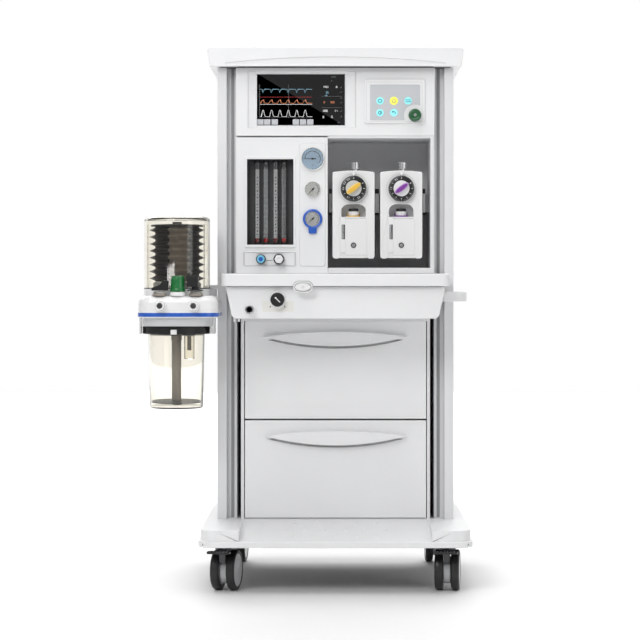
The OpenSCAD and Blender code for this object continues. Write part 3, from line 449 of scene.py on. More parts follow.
def lathe(name, profile, centre, axis, body, mat, width=0.0, n=72, flutes=None, angle=28, **kw):
    mesh = mesh_from(turned(profile, centre, axis, n, flutes), name)
    return soften(add(name, mesh, body, mat, **kw), width, 3, angle)


def strip(points, width):
    """Outline of a ribbon of even width along a line of points."""
    left, right = [], []
    for i, p in enumerate(points):
        a = Vector(points[max(i - 1, 0)])
        b = Vector(points[min(i + 1, len(points) - 1)])
        d = (b - a).normalized()
        s = Vector((-d.y, d.x)) * width / 2
        if 0 < i < len(points) - 1:
            d0 = (Vector(p) - a).normalized()
            s /= max(abs(d0.dot(d)), 0.35)
        left.append(Vector(p) + s)
        right.append(Vector(p) - s)
    return left, right


def ribbons(name, lines, width, y, body, mat, thick=0.12, closed=False):
    """Raised lines: each one a closed band that stands out from the plane y towards the front."""
    bm = bmesh.new()
    for points in lines:
        if closed:
            points = list(points) + [points[0], points[1]]
        left, right = strip(points, width)
        if closed:
            left, right = left[1:], right[1:]
            left[-1], right[-1] = left[0], right[0]
        rows = []
        for a, b in zip(left, right):
            corners = ((a, 0), (b, 0), (b, thick), (a, thick))
            rows.append([bm.verts.new(place_on(u, h, y)) for u, h in corners])
        for p, q in zip(rows, rows[1:]):
            for i in range(4):
                j = (i + 1) % 4
                bm.faces.new((p[i], p[j], q[j], q[i]))
        if not closed:
            bm.faces.new(rows[0])
            bm.faces.new(rows[-1][::-1])
    bmesh.ops.remove_doubles(bm, verts=bm.verts, dist=1e-7)
    bmesh.ops.recalc_face_normals(bm, faces=bm.faces)
    return add(name, mesh_from(bm, name), body, mat)


def place_on(point, height, plane):
    """Point drawn on a plane that faces the front, lifted off it by height."""
    p = AXES["y"] @ Vector((point[0], point[1], height))
    return at(p.x, p.y + plane, p.z)


def joined(name, parts, body, mat, **kw):
    """One piece out of several closed bmeshes."""
    whole = bmesh.new()
    for bm in parts:
        part = bpy.data.meshes.new("part")
        bm.to_mesh(part)
        bm.free()
        whole.from_mesh(part)
        bpy.data.meshes.remove(part)
    return add(name, mesh_from(whole, name), body, mat, **kw)


def numerals(name, items, size, y, body, mat, thick=0.1):
    """Numbers that face the front: (text, x, z, angle in degrees)."""
    parts = []
    for text, x, z, angle in items:
        curve = bpy.data.curves.new("number", "FONT")
        curve.body = text
        curve.size = size
        curve.align_x = "CENTER"
        curve.align_y = "CENTER"
        curve.extrude = thick / 2
        curve.resolution_u = 3
        holder = bpy.data.objects.new("number", curve)
        mesh = bpy.data.meshes.new_from_object(holder)
        bm = bmesh.new()
        bm.from_mesh(mesh)
        spin = Matrix.Rotation(math.radians(angle), 3, "Z")
        for v in bm.verts:
            v.co = at(*(AXES["y"] @ (spin @ v.co) + Vector((x, y - thick / 2, z))))
        bmesh.ops.remove_doubles(bm, verts=bm.verts, dist=1e-6)
        parts.append(bm)
        bpy.data.objects.remove(holder)
        bpy.data.meshes.remove(mesh)
        bpy.data.curves.remove(curve)
    return joined(name, parts, body, mat)


def on_arc(cx, cz, r, degrees_clockwise):
    """Point on a dial, with 0 at twelve o'clock."""
    a = math.radians(90 - degrees_clockwise)
    return (cx + r * math.cos(a), cz + r * math.sin(a))


# ---------------------------------------------------------------- frame, covers, shelf, worktop

DOME_X, DOME_Y = middle("bellows_dome").x, middle("bellows_dome").y
# bellows material with a painted reflection band down its front
BELLOWS_PAINTED_REFLECTION = bellows_rubber()

refined("base_cover", 2.0, WHITE, 4, cuts=(-236, 236))
refined("base_chassis", 1.0, STEEL_BLACK, 2)
refined("side_columns", 1.0, PAINT)
refined("drawer_cabinet", 0.8, PAINT)
refined("rear_cover", 1.0, PAINT)
refined("worktop", 3.0, WHITE, 4)
refined("worktop_apron", 1.2, WHITE, cuts=(-212, -143, -80))
refined("top_shelf", 1.8, WHITE, 4)
refined("head_housing", 0.8, PAINT)
refined("display_fascia", 1.0, WHITE)
refined("flow_fascia", 0.9, WHITE)
refined("side_handle", 3.0, WHITE, 4)
refined("upper_drawer", 1.6, DRAWER)
refined("lower_drawer", 1.6, DRAWER)
refined("drawer_slides", 0.4, ZINC, 2)
refined("back_bar", 0.8, PAINT)
refined("absorber_arm", 1.2, PAINT)
refined("display_screen", 0.3, SCREEN, 2)
refined("encoder_shaft", 0.3, BRUSHED, 2)
refined("flow_tubes", 0.0, GLASS)

base_lo, base_hi = mm("base_cover")
top = mm("top_shelf")
column_in = mm("flow_fascia")[0].x                 # inner face of the left column
work_lo, work_hi = mm("worktop")
deck = base_hi.z

# footrest: rows of raised studs on the slope
slope_front, slope_back = base_lo.y + 6, -6.0
slope_rise = (deck - 129.0) / (slope_back - slope_front)
stud = [(0, -1), (3.4, -1), (3.4, 0.6), (2.7, 1.3), (1.2, 1.6), (0, 1.7)]
studs = []
for count, depth in ((5, 0.78), (6, 0.5), (5, 0.22)):
    y = slope_front + (slope_back - slope_front) * depth
    for i in range(count):
        x = (i - (count - 1) / 2) * 51.0
        z = 129.0 + slope_rise * (y - slope_front)
        studs.append(turned(stud, (x, y, z), "z", 20))
soften(joined("footrest_studs", studs, "frame", GLOSS), 0)

# seam between the base's corner blocks and the footrest
for side in (-1, 1):
    solid("footrest_cheek_%s" % ("left" if side < 0 else "right"),
          [(base_lo.y + 8.5, 127.5), (-3.0, deck - 0.6), (-3.0, deck - 3.5), (base_lo.y + 8.5, 124.5)],
          "x", side * 236 - 1.2, side * 236 + 1.2, "frame", MID_GREY, 0.3)

# bead down each column's outer strip and channel down its inner one
for side in (-1, 1):
    name = "left" if side < 0 else "right"
    x = side * (mm("side_columns")[1].x - 23)
    solid("column_bead_" + name, rounded(x, 12.4, 2.2, 24.0, 0.9), "z", deck + 2, top[0].z - 2, "frame",
          LIGHT_GREY, 0.2)
    solid("column_channel_" + name, rounded(side * (abs(column_in) + 9), 25.2, 8.0, 1.6, 0.6), "z",
          deck + 2, top[0].z - 2, "frame", MID_GREY, 0.2)

# painted shadow: thin dark strips below the worktop and the top shelf
solid("worktop_painted_shadow_line", rounded(0, (work_lo.y + 2) / 2 + 2, work_hi.x * 2 - 22, -work_lo.y - 14, 12), "z",
      work_lo.z - 1.4, work_lo.z + 0.2, "frame", DARK_GREY, 0.3)
solid("shelf_painted_shadow_line", rounded(0, 175, 2 * abs(column_in) + 80, 372, 6), "z", top[0].z - 1.4, top[0].z + 0.3,
      "frame", DARK_GREY, 0.3)

# rear of the machine: louvres, guarded fan, blank rating plate, access door, screws, inlet collars
rear_y = mm("rear_cover")[1].y
slots = [rounded(x, 1010 + 13 * k, 84, 5, 2.4) for x in (-120, 0, 120) for k in range(9)]
solid("rear_louvres", [rounded(0, 1062, 356, 136, 8)] + slots, "y", rear_y, rear_y + 2.2, "frame", PAINT, 0.5)
solid("rear_louvre_backing", rounded(0, 1062, 344, 124, 6), "y", rear_y - 0.2, rear_y + 0.6, "frame", BLACK,
      0.2)
grille = []
for r in (14, 26, 38, 50):
    grille.append(turned([(r - 1.6, 0), (r + 1.6, 0), (r + 1.6, 3), (r - 1.6, 3), (r - 1.6, 0)],
                         (-120, rear_y + 0.5, 860), "y", 64))
for k in range(4):
    a = math.radians(45 + 90 * k)
    dx, dz = math.cos(a), math.sin(a)
    nx, nz = -dz * 2, dx * 2
    grille.append(extrusion([[(-120 + nx, 860 + nz), (-120 + nx + dx * 54, 860 + nz + dz * 54),
                              (-120 - nx + dx * 54, 860 - nz + dz * 54), (-120 - nx, 860 - nz)]], "y",
                            rear_y + 0.5, rear_y + 2.6))
soften(joined("fan_guard", grille, "frame", CHROME), 0)
solid("fan_surround", [rounded(-120, 860, 124, 124, 12), oval(-120, 860, 55)], "y", rear_y, rear_y + 2.4,
      "frame", MID_GREY, 0.6)
solid("fan_well", oval(-120, 860, 56), "y", rear_y - 0.2, rear_y + 0.4, "frame", BLACK, 0.1)
solid("rating_plate", rounded(110, 860, 120, 70, 4), "y", rear_y, rear_y + 0.8, "frame", BRUSHED, 0.3)
solid("rear_access_door", rounded(0, 400, 380, 150, 10), "y", rear_y, rear_y + 1.5, "frame", PAINT, 0.7)
screw = [(0, 2.2), (0.9, 2.2), (0.9, 1.1), (1.8, 1.1), (2.1, 2.1), (4.2, 1.7), (5.0, 0), (0, 0)]
screws = [turned(screw, (x, rear_y, z), "y", 24) for x in (-286, 286) for z in (190, 470, 750, 1030, 1290)]
screws += [turned(screw, (x, rear_y + 1.5, z), "y", 24) for x in (-176, 176) for z in (340, 460)]
soften(joined("rear_screws", screws, "frame", BRUSHED), 0)
inlet_x, inlet_z = (-60, 0, 60), 560
for x, paint, name in zip(inlet_x, (WHITE_INK, BLUE, BLACK), ("first", "second", "third")):
    lathe("inlet_collar_" + name, [(13.5, 0), (19, 0), (19, 1.6), (17.8, 2.6), (14.7, 2.6), (13.5, 1.6),
            (13.5, 0)], (x, rear_y, inlet_z), "y", "frame", paint, 0.2)

# frame round the mains inlet
solid("mains_inlet_frame", [rounded(150, 300, 64, 36, 5), rounded(150, 300, 42, 21, 2)], "y", rear_y,
      rear_y + 2.6, "frame", BLACK, 0.5)

# ---------------------------------------------------------------- display and keypad

glass_y = mm("display_screen")[0].y
sx0 = -89 - 112.5                                   # left and top edge of the lit picture
sz1 = middle("display_screen").z + 64.5
sw, sh = 225.0, 129.0


def pic(u, v):
    """Point on the picture: u to the right and v down, both 0 to 1."""
    return (sx0 + u * sw, sz1 - v * sh)


def digits(text, u, v, h, mat, name):
    """Seven-segment number on the screen."""
    segs = {"0": "abcdef", "1": "bc", "2": "abged", "3": "abgcd", "4": "fgbc", "5": "afgcd", "6": "afgedc",
            "7": "abc", "8": "abcdefg", "9": "abcdfg", "-": "g"}
    w = h * 0.55
    lines = []
    x, z = pic(u, v)
    for ch in text:
        if ch == ".":
            lines.append([(x - w * 0.12, z - h), (x + w * 0.06, z - h)])
            x += w * 0.3
            continue
        ends = {"a": ((0, 0), (w, 0)), "b": ((w, 0), (w, -h / 2)), "c": ((w, -h / 2), (w, -h)),
                "d": ((0, -h), (w, -h)), "e": ((0, -h / 2), (0, -h)), "f": ((0, 0), (0, -h / 2)),
                "g": ((0, -h / 2), (w, -h / 2))}
        for s in segs.get(ch, ""):
            (ax, az), (bx, bz) = ends[s]
            lines.append([(x + ax, z + az), (x + bx, z + bz)])
        x += w * 1.45
    ribbons(name, lines, max(h * 0.15, 0.35), glass_y, "frame", mat, 0.08)


span0, span1 = 0.035, 0.63
beats = [0.07 + 0.096 * k for k in range(6)]
flow = [pic(span0, 0.29)]
for b in beats:
    flow += [pic(b - 0.012, 0.29), pic(b - 0.003, 0.36), pic(b + 0.006, 0.32), pic(b + 0.014, 0.287)]
flow.append(pic(span1, 0.29))
ribbons("trace_flow", [flow], 0.9, glass_y, "frame", TRACE_BLUE, 0.08)
volume = [pic(span0, 0.565)]
for b in beats:
    volume += [pic(b - 0.03, 0.57), pic(b - 0.014, 0.52), pic(b + 0.004, 0.497), pic(b + 0.016, 0.565)]
volume.append(pic(span1, 0.565))
ribbons("trace_volume", [volume], 0.9, glass_y, "frame", TRACE_ORANGE, 0.08)
starts = [span0 + 0.012 * k * 1.6 for k in range(31)]
ribbons("trace_limit", [[pic(u, 0.445), pic(u + 0.012, 0.445)] for u in starts], 0.8, glass_y, "frame",
        TRACE_RED, 0.08)
ribbons("trace_volume_base", [[pic(span0, 0.59), pic(span1, 0.59)]], 0.8, glass_y, "frame", TRACE_WHITE, 0.07)
pressure = [pic(span0, 0.835)]
for b in beats:
    pressure += [pic(b - 0.022, 0.835), pic(b - 0.004, 0.70), pic(b + 0.004, 0.705), pic(b + 0.022, 0.83)]
pressure.append(pic(span1, 0.835))
ribbons("trace_pressure", [pressure], 0.85, glass_y, "frame", TRACE_WHITE, 0.08)
ribbons("trace_pressure_base", [[pic(span0, 0.845), pic(span1, 0.845)]], 0.5, glass_y, "frame", TRACE_GREY,
        0.07)
axis_lines = [[pic(0.03, 0.19), pic(0.03, 0.86)], [pic(0.36, 0.2), pic(0.36, 0.86)]]
axis_lines += [[pic(0.02, 0.2 + 0.045 * k), pic(0.035, 0.2 + 0.045 * k)] for k in range(15)]
ribbons("trace_axes", axis_lines, 0.55, glass_y, "frame", TRACE_GREY, 0.06)
ribbons("readout_rules", [[pic(0.735, v), pic(0.97, v)] for v in (0.43, 0.655)], 0.5, glass_y, "frame",
        TRACE_GREY, 0.06)
ribbons("readout_ticks",
        [[pic(0.945, v), pic(0.965, v), pic(0.965, v - 0.03)] for v in (0.26, 0.35, 0.47, 0.56, 0.73, 0.84)],
        0.6, glass_y, "frame", TRACE_GREY, 0.06)
digits("11.47", 0.84, 0.03, 4.2, TRACE_GREY, "readout_clock")
digits("10", 0.84, 0.115, 2.6, TRACE_GREY, "readout_small_a")
digits("1.400", 0.75, 0.225, 4.4, TRACE_WHITE, "readout_pressure")
digits("16", 0.89, 0.225, 4.4, TRACE_WHITE, "readout_rate")
digits("35", 0.785, 0.335, 5.0, TRACE_BLUE, "readout_oxygen")
digits("480", 0.775, 0.40, 3.0, TRACE_BLUE, "readout_small_b")
digits("12", 0.75, 0.53, 4.4, TRACE_ORANGE, "readout_peak")
digits("500", 0.84, 0.53, 4.4, TRACE_ORANGE, "readout_tidal")
digits("1080", 0.745, 0.70, 4.6, TRACE_WHITE, "readout_minute")
digits("21", 0.89, 0.70, 4.2, TRACE_WHITE, "readout_ratio")
digits("8", 0.75, 0.82, 5.0, TRACE_WHITE, "readout_peep")
digits("15", 0.835, 0.82, 5.0, TRACE_WHITE, "readout_plateau")
digits("20", 0.92, 0.94, 3.0, TRACE_GREY, "readout_small_c")
keys = []
for u in (0.003, 0.081, 0.166, 0.408, 0.489, 0.571):
    x0, z0 = pic(u, 0.885)
    x1, z1 = pic(u + 0.072, 0.995)
    keys.append(extrusion([rounded((x0 + x1) / 2, (z0 + z1) / 2, x1 - x0, z0 - z1, 0.8, 3)], "y",
            glass_y - 0.2, glass_y))
soften(joined("soft_keys", keys, "frame", FILM), 0)

# picture frame: a slim grey bead round the window and a flared lip to the left and right
wx, wz = -89.0, middle("display_screen").z
solid("screen_bezel", [rounded(wx, wz, 226.8, 131.8, 1.2, 4), rounded(wx, wz, 225.2, 130.2, 0.8, 4)], "y",
      9.2, 11.9, "frame", MID_GREY, 0.15, 2)
for side in (-1, 1):
    x_in, x_out = wx + 3 + side * 115.5, wx + 3 + side * 137.4
    solid("screen_cheek_%s" % ("left" if side < 0 else "right"),
          [(x_in, 7.6), (x_in, 8.6), (x_out, 8.6), (x_out, 0.9), ((x_in + x_out) / 2 + side * 4, 4.4)],
          "z", wz - 72.4, wz + 72.4, "frame", WHITE, 0.4)

key_mid = middle("keypad_overlay")
refined("keypad_overlay", 0.25, FILM, 2)
film_y = mm("keypad_overlay")[0].y
enc = middle("encoder_knob")
key_z = (key_mid.z + 4.0, key_mid.z - 26.5)
key_x = (key_mid.x - 38.8, key_mid.x - 3.2, key_mid.x + 33.0)
pads = [(key_x[0], key_z[0]), (key_x[2], key_z[0]), (key_x[0], key_z[1]), (key_x[1], key_z[1])]
pad_disc = [(0, 0), (9.6, 0), (9.6, 0.12), (8.8, 0.3), (0, 0.3)]
halo = [turned(pad_disc, (x, film_y + 0.02, z), "front", 40) for x, z in pads]
soften(joined("key_pads_cyan", halo, "frame", CYAN_GLOW), 0)
lathe("key_pad_yellow", [(0, 0), (10.6, 0), (10.6, 0.12), (9.8, 0.3), (0, 0.3)],
      (key_x[1], film_y + 0.02, key_z[0]), "front", "frame", YELLOW_GLOW, 0, 40)
mark_y = film_y - 0.28
ribbons("key_marks_rings", [oval(key_x[0], key_z[0], 4.2, n=24), oval(key_x[0], key_z[1], 4.0, n=24)], 1.6,
        mark_y, "frame", TEAL_INK, 0.1, closed=True)
ribbons("key_marks", [[(key_x[2] - 8, key_z[0] + 2.2), (key_x[2] + 7, key_z[0] + 2.2)],
        [(key_x[2] - 6, key_z[0] - 2.4), (key_x[2] + 8, key_z[0] - 2.4)], [(key_x[1] - 4.5, key_z[1] + 2.5),
        (key_x[1] + 2, key_z[1] + 2.5), (key_x[1] + 4, key_z[1]), (key_x[1] + 3, key_z[1] - 3)],
        [(key_x[1] - 4.5, key_z[1] + 2.5), (key_x[1] - 1.5, key_z[1] + 4.8)],
        [(key_x[1] - 4.5, key_z[1] + 2.5), (key_x[1] - 1.5, key_z[1] + 0.2)], [(key_x[0] + 1, key_z[1] + 2),
        (key_x[0] + 1, key_z[1] - 2.2)]], 1.5, mark_y, "frame", TEAL_INK, 0.1)
ribbons("key_mark_bell", [[(key_x[1] - 3.6, key_z[0] - 3.4), (key_x[1] - 2.6, key_z[0] + 3.0),
        (key_x[1], key_z[0] + 4.6), (key_x[1] + 2.6, key_z[0] + 3.0), (key_x[1] + 3.6, key_z[0] - 3.4)],
        [(key_x[1] - 4.6, key_z[0] - 3.8), (key_x[1] + 4.6, key_z[0] - 3.8)]], 1.2, mark_y, "frame",
        GREY_INK, 0.1)
frame_out = rounded(key_mid.x - 2.5, key_mid.z + 1.5, 143, 101, 5)
# painted shade: a raised light grey line round the keypad panel stands in for the shade of its edge
ribbons("keypad_edge_painted_shade", [frame_out], 0.7, -5.0, "frame", LIGHT_GREY, 0.15, closed=True)

r = (mm("encoder_knob")[1].x - mm("encoder_knob")[0].x) / 2
knob_lo, knob_hi = mm("encoder_knob")
depth = knob_hi.y - knob_lo.y
lathe("encoder_knob_body", [(4.1, 0), (r, 0), (r, 1.6), (r - 0.9, 2.2), (r - 1.0, depth - 2.6),
        (r - 2.6, depth - 0.5), (r - 4.6, depth), (r - 6.0, depth - 0.6), (r - 7.0, depth - 1.4),
        (4.5, depth - 2.0), (0, depth - 2.1), (0, depth - 3.2), (4.1, depth - 3.2), (4.1, 0)],
      (enc.x, knob_hi.y, enc.z), "front", body_of("encoder_knob"), DEEP_GREEN, 0.25, 96,
      flutes=lambda a, h: 1 + (0.012 * math.cos(24 * a) if 2.0 < h < depth - 2.0 else 0),
      replaces=["encoder_knob"])

# ---------------------------------------------------------------- flow meters

win_x, win_w, win_h = -167.0, 118.5, 219.0
win_z = 967.5
win_z0, win_z1 = win_z - win_h / 2, win_z + win_h / 2
back_y = 35.6
solid("flow_window_backing", rounded(win_x, win_z, win_w - 0.4, win_h - 0.4, 0.8, 3), "y", back_y - 0.8,
      back_y + 0.2, "frame", CHARCOAL, 0.1)
for side in (-1, 1):
    solid("flow_window_cheek_%s" % ("left" if side < 0 else "right"),
          rounded(win_x + side * (win_w / 2 - 0.9), 18.0, 1.4, 34.0, 0.4, 3), "z", win_z0 + 0.6,
          win_z1 - 0.6, "frame", BLACK, 0.1)
solid("flow_window_head", rounded(win_x, 18.0, win_w - 3, 34.0, 0.4, 3), "z", win_z1 - 1.6, win_z1 - 0.2,
      "frame", BLACK, 0.1)
solid("flow_window_foot", rounded(win_x, 18.0, win_w - 3, 34.0, 0.4, 3), "z", win_z0 + 0.2, win_z0 + 1.6,
      "frame", BLACK, 0.1)
tube_x = (-201.0, -179.0, -154.0, -132.5)
tube_y = middle("flow_tubes").y
scale_y = tube_y + 9.6
wide_dots, wide_small, fine_marks = [], [], []
for k, x in enumerate(tube_x):
    name = "flow_scale_%d" % (k + 1)
    if k % 2 == 0:
        solid(name, rounded(x, (win_z0 + win_z1) / 2 - 7, 11.0, win_h - 34, 1.0, 3), "y", scale_y,
              scale_y + 1.2, "frame", WHITE_INK, 0.15)
        for j in range(9):
            wide_dots.append(turned([(0, 0), (1.9, 0), (1.9, 0.25), (0, 0.25)],
                    (x, scale_y + 0.02, win_z0 + 36 + 17.2 * j), "front", 20))
            wide_small.append([(x - 2.6, win_z0 + 27.4 + 17.2 * j), (x + 2.6, win_z0 + 27.4 + 17.2 * j)])
    else:
        solid(name, rounded(x, (win_z0 + win_z1) / 2 - 7, 13.5, win_h - 34, 1.0, 3), "y", scale_y,
              scale_y + 1.2, "frame", MID_GREY, 0.15)
        for j in range(56):
            half = 6.2 if j % 5 == 0 else 4.4
            fine_marks.append([(x - half, win_z0 + 22 + 3.2 * j), (x - 1.2, win_z0 + 22 + 3.2 * j)])
            fine_marks.append([(x + 1.2, win_z0 + 22 + 3.2 * j), (x + half, win_z0 + 22 + 3.2 * j)])
soften(joined("flow_scale_dots", wide_dots, "frame", INK), 0)
ribbons("flow_scale_dashes", wide_small, 1.6, scale_y, "frame", GREY_INK, 0.2)
ribbons("flow_scale_ladder", fine_marks, 1.1, scale_y, "frame", WHITE_INK, 0.2)
seats = []
for x in tube_x:
    seats.append(turned([(8.6, 0), (8.6, 3.2), (7.5, 4.2), (7.5, 5.0), (0, 5.0), (0, 0)],
            (x, tube_y, win_z0 + 1.4), "z", 40))
    seats.append(turned([(0, 0), (8.6, 0), (8.6, 5.2), (7.5, 6.4), (0, 6.4)], (x, tube_y, win_z1 - 8.0),
            "z", 40))
soften(joined("flow_tube_seats", seats, "frame", BLACK), 0)
rods = [turned([(0, 0), (1.5, 0), (1.5, 3), (0, 3)], (x, tube_y, win_z1 - 11), "z", 16) for x in tube_x[1::2]]
soften(joined("flow_float_stops", rods, "frame", LIGHT_GREY), 0)
for node, xs in (("n2o_floats", tube_x[:2]), ("o2_floats", tube_x[2:])):
    lo, hi = mm(node)
    body = body_of(node)
    rf = 5.75
    top_z = hi.z - lo.z
    for x, paint, part in zip(xs, (DARK_RED, RED), ("coarse", "fine")):
        prof = [(0, 0), (rf * 0.55, 0), (rf * 0.62, 2.2), (rf * 0.5, 3.4), (rf * 0.96, 5.6), (rf, 6.6),
                (rf, 8.6), (rf * 0.78, 9.6), (rf, 10.6), (rf, top_z - 0.7), (rf * 0.92, top_z), (0, top_z)]
        obj = lathe("%s_%s" % (node, part), prof, (x, tube_y, lo.z), "z", body, paint, 0.2, 40)
        if part == "coarse":
            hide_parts(node)

# needle-valve field with flared corners, and its two knobs
vz = middle("n2o_knob").z
field_x = (middle("n2o_knob").x + middle("o2_knob").x) / 2 - 1.0
hw, hh = 63.8, 16.6
pillow = []
for i in range(25):
    t = -1 + 2 * i / 24
    pillow.append((field_x + hw * t, vz + 1 + hh - 3.2 * (1 - t * t)))
for i in range(25):
    t = 1 - 2 * i / 24
    pillow.append((field_x + hw * t, vz + 1 - hh + 1.2 * (1 - t * t)))
solid("valve_field_rim", [rounded(field_x, vz + 1, 134.0, 36.0, 2.5), pillow], "y", -2.9, -1.9, "frame",
      LIGHT_GREY, 0.3)


def valve_knob(node, lobes, cap_mat, ring_mat, mark_mat):
    """Needle-valve knob: black fluted grip, coloured face (lobed or round), cap and mark."""
    lo, hi = mm(node)
    mid = middle(node)
    rk = (hi.x - lo.x) / 2
    face = -2.5
    d = face - lo.y
    body = body_of(node)
    shape = (lambda a, h: 1 + 0.035 * math.cos(lobes * a) - 0.035) if lobes else None
    lathe(node + "_grip", [(3, 0), (rk, 0), (rk, d * 0.62), (rk - 0.8, d * 0.72), (rk * 0.82, d * 0.78),
            (0, d * 0.78), (0, 0.4), (3, 0.4), (3, 0)], (mid.x, face, mid.z), "front", body, BLACK, 0.3, 96,
          replaces=[node], flutes=lambda a, h: 1 + (0.012 * math.cos(36 * a) - 0.012 if h < d * 0.7 else 0))
    lathe(node + "_face", [(0, 0), (rk * 0.80, 0), (rk * 0.80, d * 0.10), (rk * 0.72, d * 0.20),
            (rk * 0.5, d * 0.215), (0, d * 0.2)], (mid.x, face - d * 0.78, mid.z), "front", body, ring_mat,
          0.2, 96, flutes=shape)
    lathe(node + "_cap", [(0, 0), (rk * 0.46, 0), (rk * 0.46, 0.5), (rk * 0.38, 0.9), (0, 1.0)],
          (mid.x, face - d * 0.965, mid.z), "front", body, cap_mat, 0.1, 48)
    arc = [on_arc(mid.x, mid.z - 1, rk * 0.3, a) for a in range(-60, 61, 15)]
    ribbons(node + "_mark", [arc], 0.8, face - d * 0.965 - 0.9, body, mark_mat, 0.1)
    lathe(node + "_stem", [(0, 0), (3, 0), (3, hi.y - face - 1), (2.4, hi.y - face), (0, hi.y - face)],
          (mid.x, face, mid.z), "y", body, BRUSHED, 0.1, 32)


valve_knob("n2o_knob", 0, BLUE, SKY, TEAL_INK)
valve_knob("o2_knob", 6, GLOSS, GLOSS, GREY_INK)

# gauges: rim, dial, scale, numbers, needle and lens
gauge_x = -58.5
gauges = [("airway", 28.0, 3.0, 1078.0), ("supply", 19.0, 2.0, 999.5), ("suction", 19.0, 6.0, 924.0)]
face_y = -4.0
for name, gr, rim, gz in gauges:
    paint = {"airway": GLOSS, "supply": GLOSS, "suction": BLUE}[name]
    ring = [(gr - 0.4, -1.9), (gr + rim, -1.9), (gr + rim, 5.6), (gr + rim - 1.3, 7.5),
            (gr + rim * 0.45, 7.9), (gr + 0.6, 7.2), (gr - 0.4, 6.2), (gr - 0.4, -1.9)]
    lathe("gauge_rim_" + name, ring, (gauge_x, -2, gz), "front", "frame", paint, 0.25, 96,
          replaces=["gauge_cases"] if name == "airway" else ())
    lathe("gauge_dial_" + name, [(0, 0), (gr, 0), (gr, 1.9), (0, 1.9)], (gauge_x, -2.1, gz), "front", "frame",
          DIAL_BLUE if name == "airway" else DIAL_FACE, 0.1, 64)
    lathe("gauge_stem_" + name, [(0, 0), (9, 0), (9, 9), (6, 9), (6, 26), (5, 31), (0, 31)],
          (gauge_x, -2, gz), "y", "frame", BRUSHED, 0.3, 48)
    lathe("gauge_lens_" + name, [(0, 0), (gr - 0.2, 0), (gr - 0.2, 0.5), (gr - 1.8, 1.05), (0, 1.15)],
          (gauge_x, -8.6, gz), "front", "frame", GLASS, 0.1, 64,
          replaces=["gauge_lenses"] if name == "airway" else ())
    start = -90 if name == "airway" else -135
    major = [[on_arc(gauge_x, gz, gr * 0.86, start + 270 * k / 10),
              on_arc(gauge_x, gz, gr * 0.97, start + 270 * k / 10)] for k in range(11)]
    minor = [[on_arc(gauge_x, gz, gr * 0.91, start + 270 * k / 50),
              on_arc(gauge_x, gz, gr * 0.97, start + 270 * k / 50)] for k in range(51)]
    ribbons("gauge_ticks_" + name, major, gr * 0.028, face_y, "frame", INK, 0.1)
    ribbons("gauge_fine_ticks_" + name, minor, gr * 0.014, face_y, "frame", GREY_INK, 0.1)
    if name == "airway":
        ribbons("gauge_arc_airway", [[on_arc(gauge_x, gz, gr * 0.70, a) for a in range(-90, 121, 5)]], 1.3,
                face_y, "frame", INK, 0.12)
        ribbons("gauge_halo_airway", [oval(gauge_x, gz, gr * 0.99, n=72)], 1.6, face_y, "frame", TRACE_BLUE,
                0.1, closed=True)
    else:
        ribbons("gauge_arc_" + name, [[on_arc(gauge_x, gz, gr * 0.78, a) for a in range(30, 136, 5)]], 1.6,
                face_y, "frame", MID_GREY, 0.12)
    texts = [(str(10 * k if name == "airway" else 2 * k),
              *on_arc(gauge_x, gz, gr * 0.60, start + 27 * 2 * k), 0) for k in range(6)]
    numerals("gauge_numbers_" + name, texts, gr * 0.17, face_y, "frame", GREY_INK)
    node = name + "_needle"
    turn = -math.radians(start)
    needle = [(-gr * 0.30, 1.5), (-gr * 0.08, 1.1), (gr * 0.1, 0.95), (gr * 0.8, 0.28)]
    loop = needle + [(u, -w) for u, w in reversed(needle)]
    ca, sa = math.cos(math.radians(90 - start)), math.sin(math.radians(90 - start))
    loop = [(gauge_x + u * ca - w * sa, gz + u * sa + w * ca) for u, w in loop]
    solid("needle_blade_" + name, loop, "y", -6.5, -5.7, body_of(node), INK, 0.1, 2, replaces=[node])
    lathe("needle_hub_" + name, [(0, -0.9), (1.0, -0.9), (1.0, 0.2), (2.5, 0.2), (2.5, 1.6), (1.6, 2.2),
            (0, 2.3)], (gauge_x, -4.7, gz), "front", body_of(node), BLACK, 0.1, 32)
solid("suction_tab", [(gauge_x - 11, 905), (gauge_x + 11, 905), (gauge_x + 10.2, 888.5),
        (gauge_x + 7.5, 886.6), (gauge_x - 7.5, 886.6), (gauge_x - 10.2, 888.5)], "y", -9.0, -2.0, "frame",
      BLUE, 0.9)
ribbons("gauge_panel_line", [rounded(gauge_x - 0.5, 961.5, 64, 314, 7)], 0.5, -2.0, "frame", LIGHT_GREY,
        0.12, closed=True)

# ---------------------------------------------------------------- vaporizers


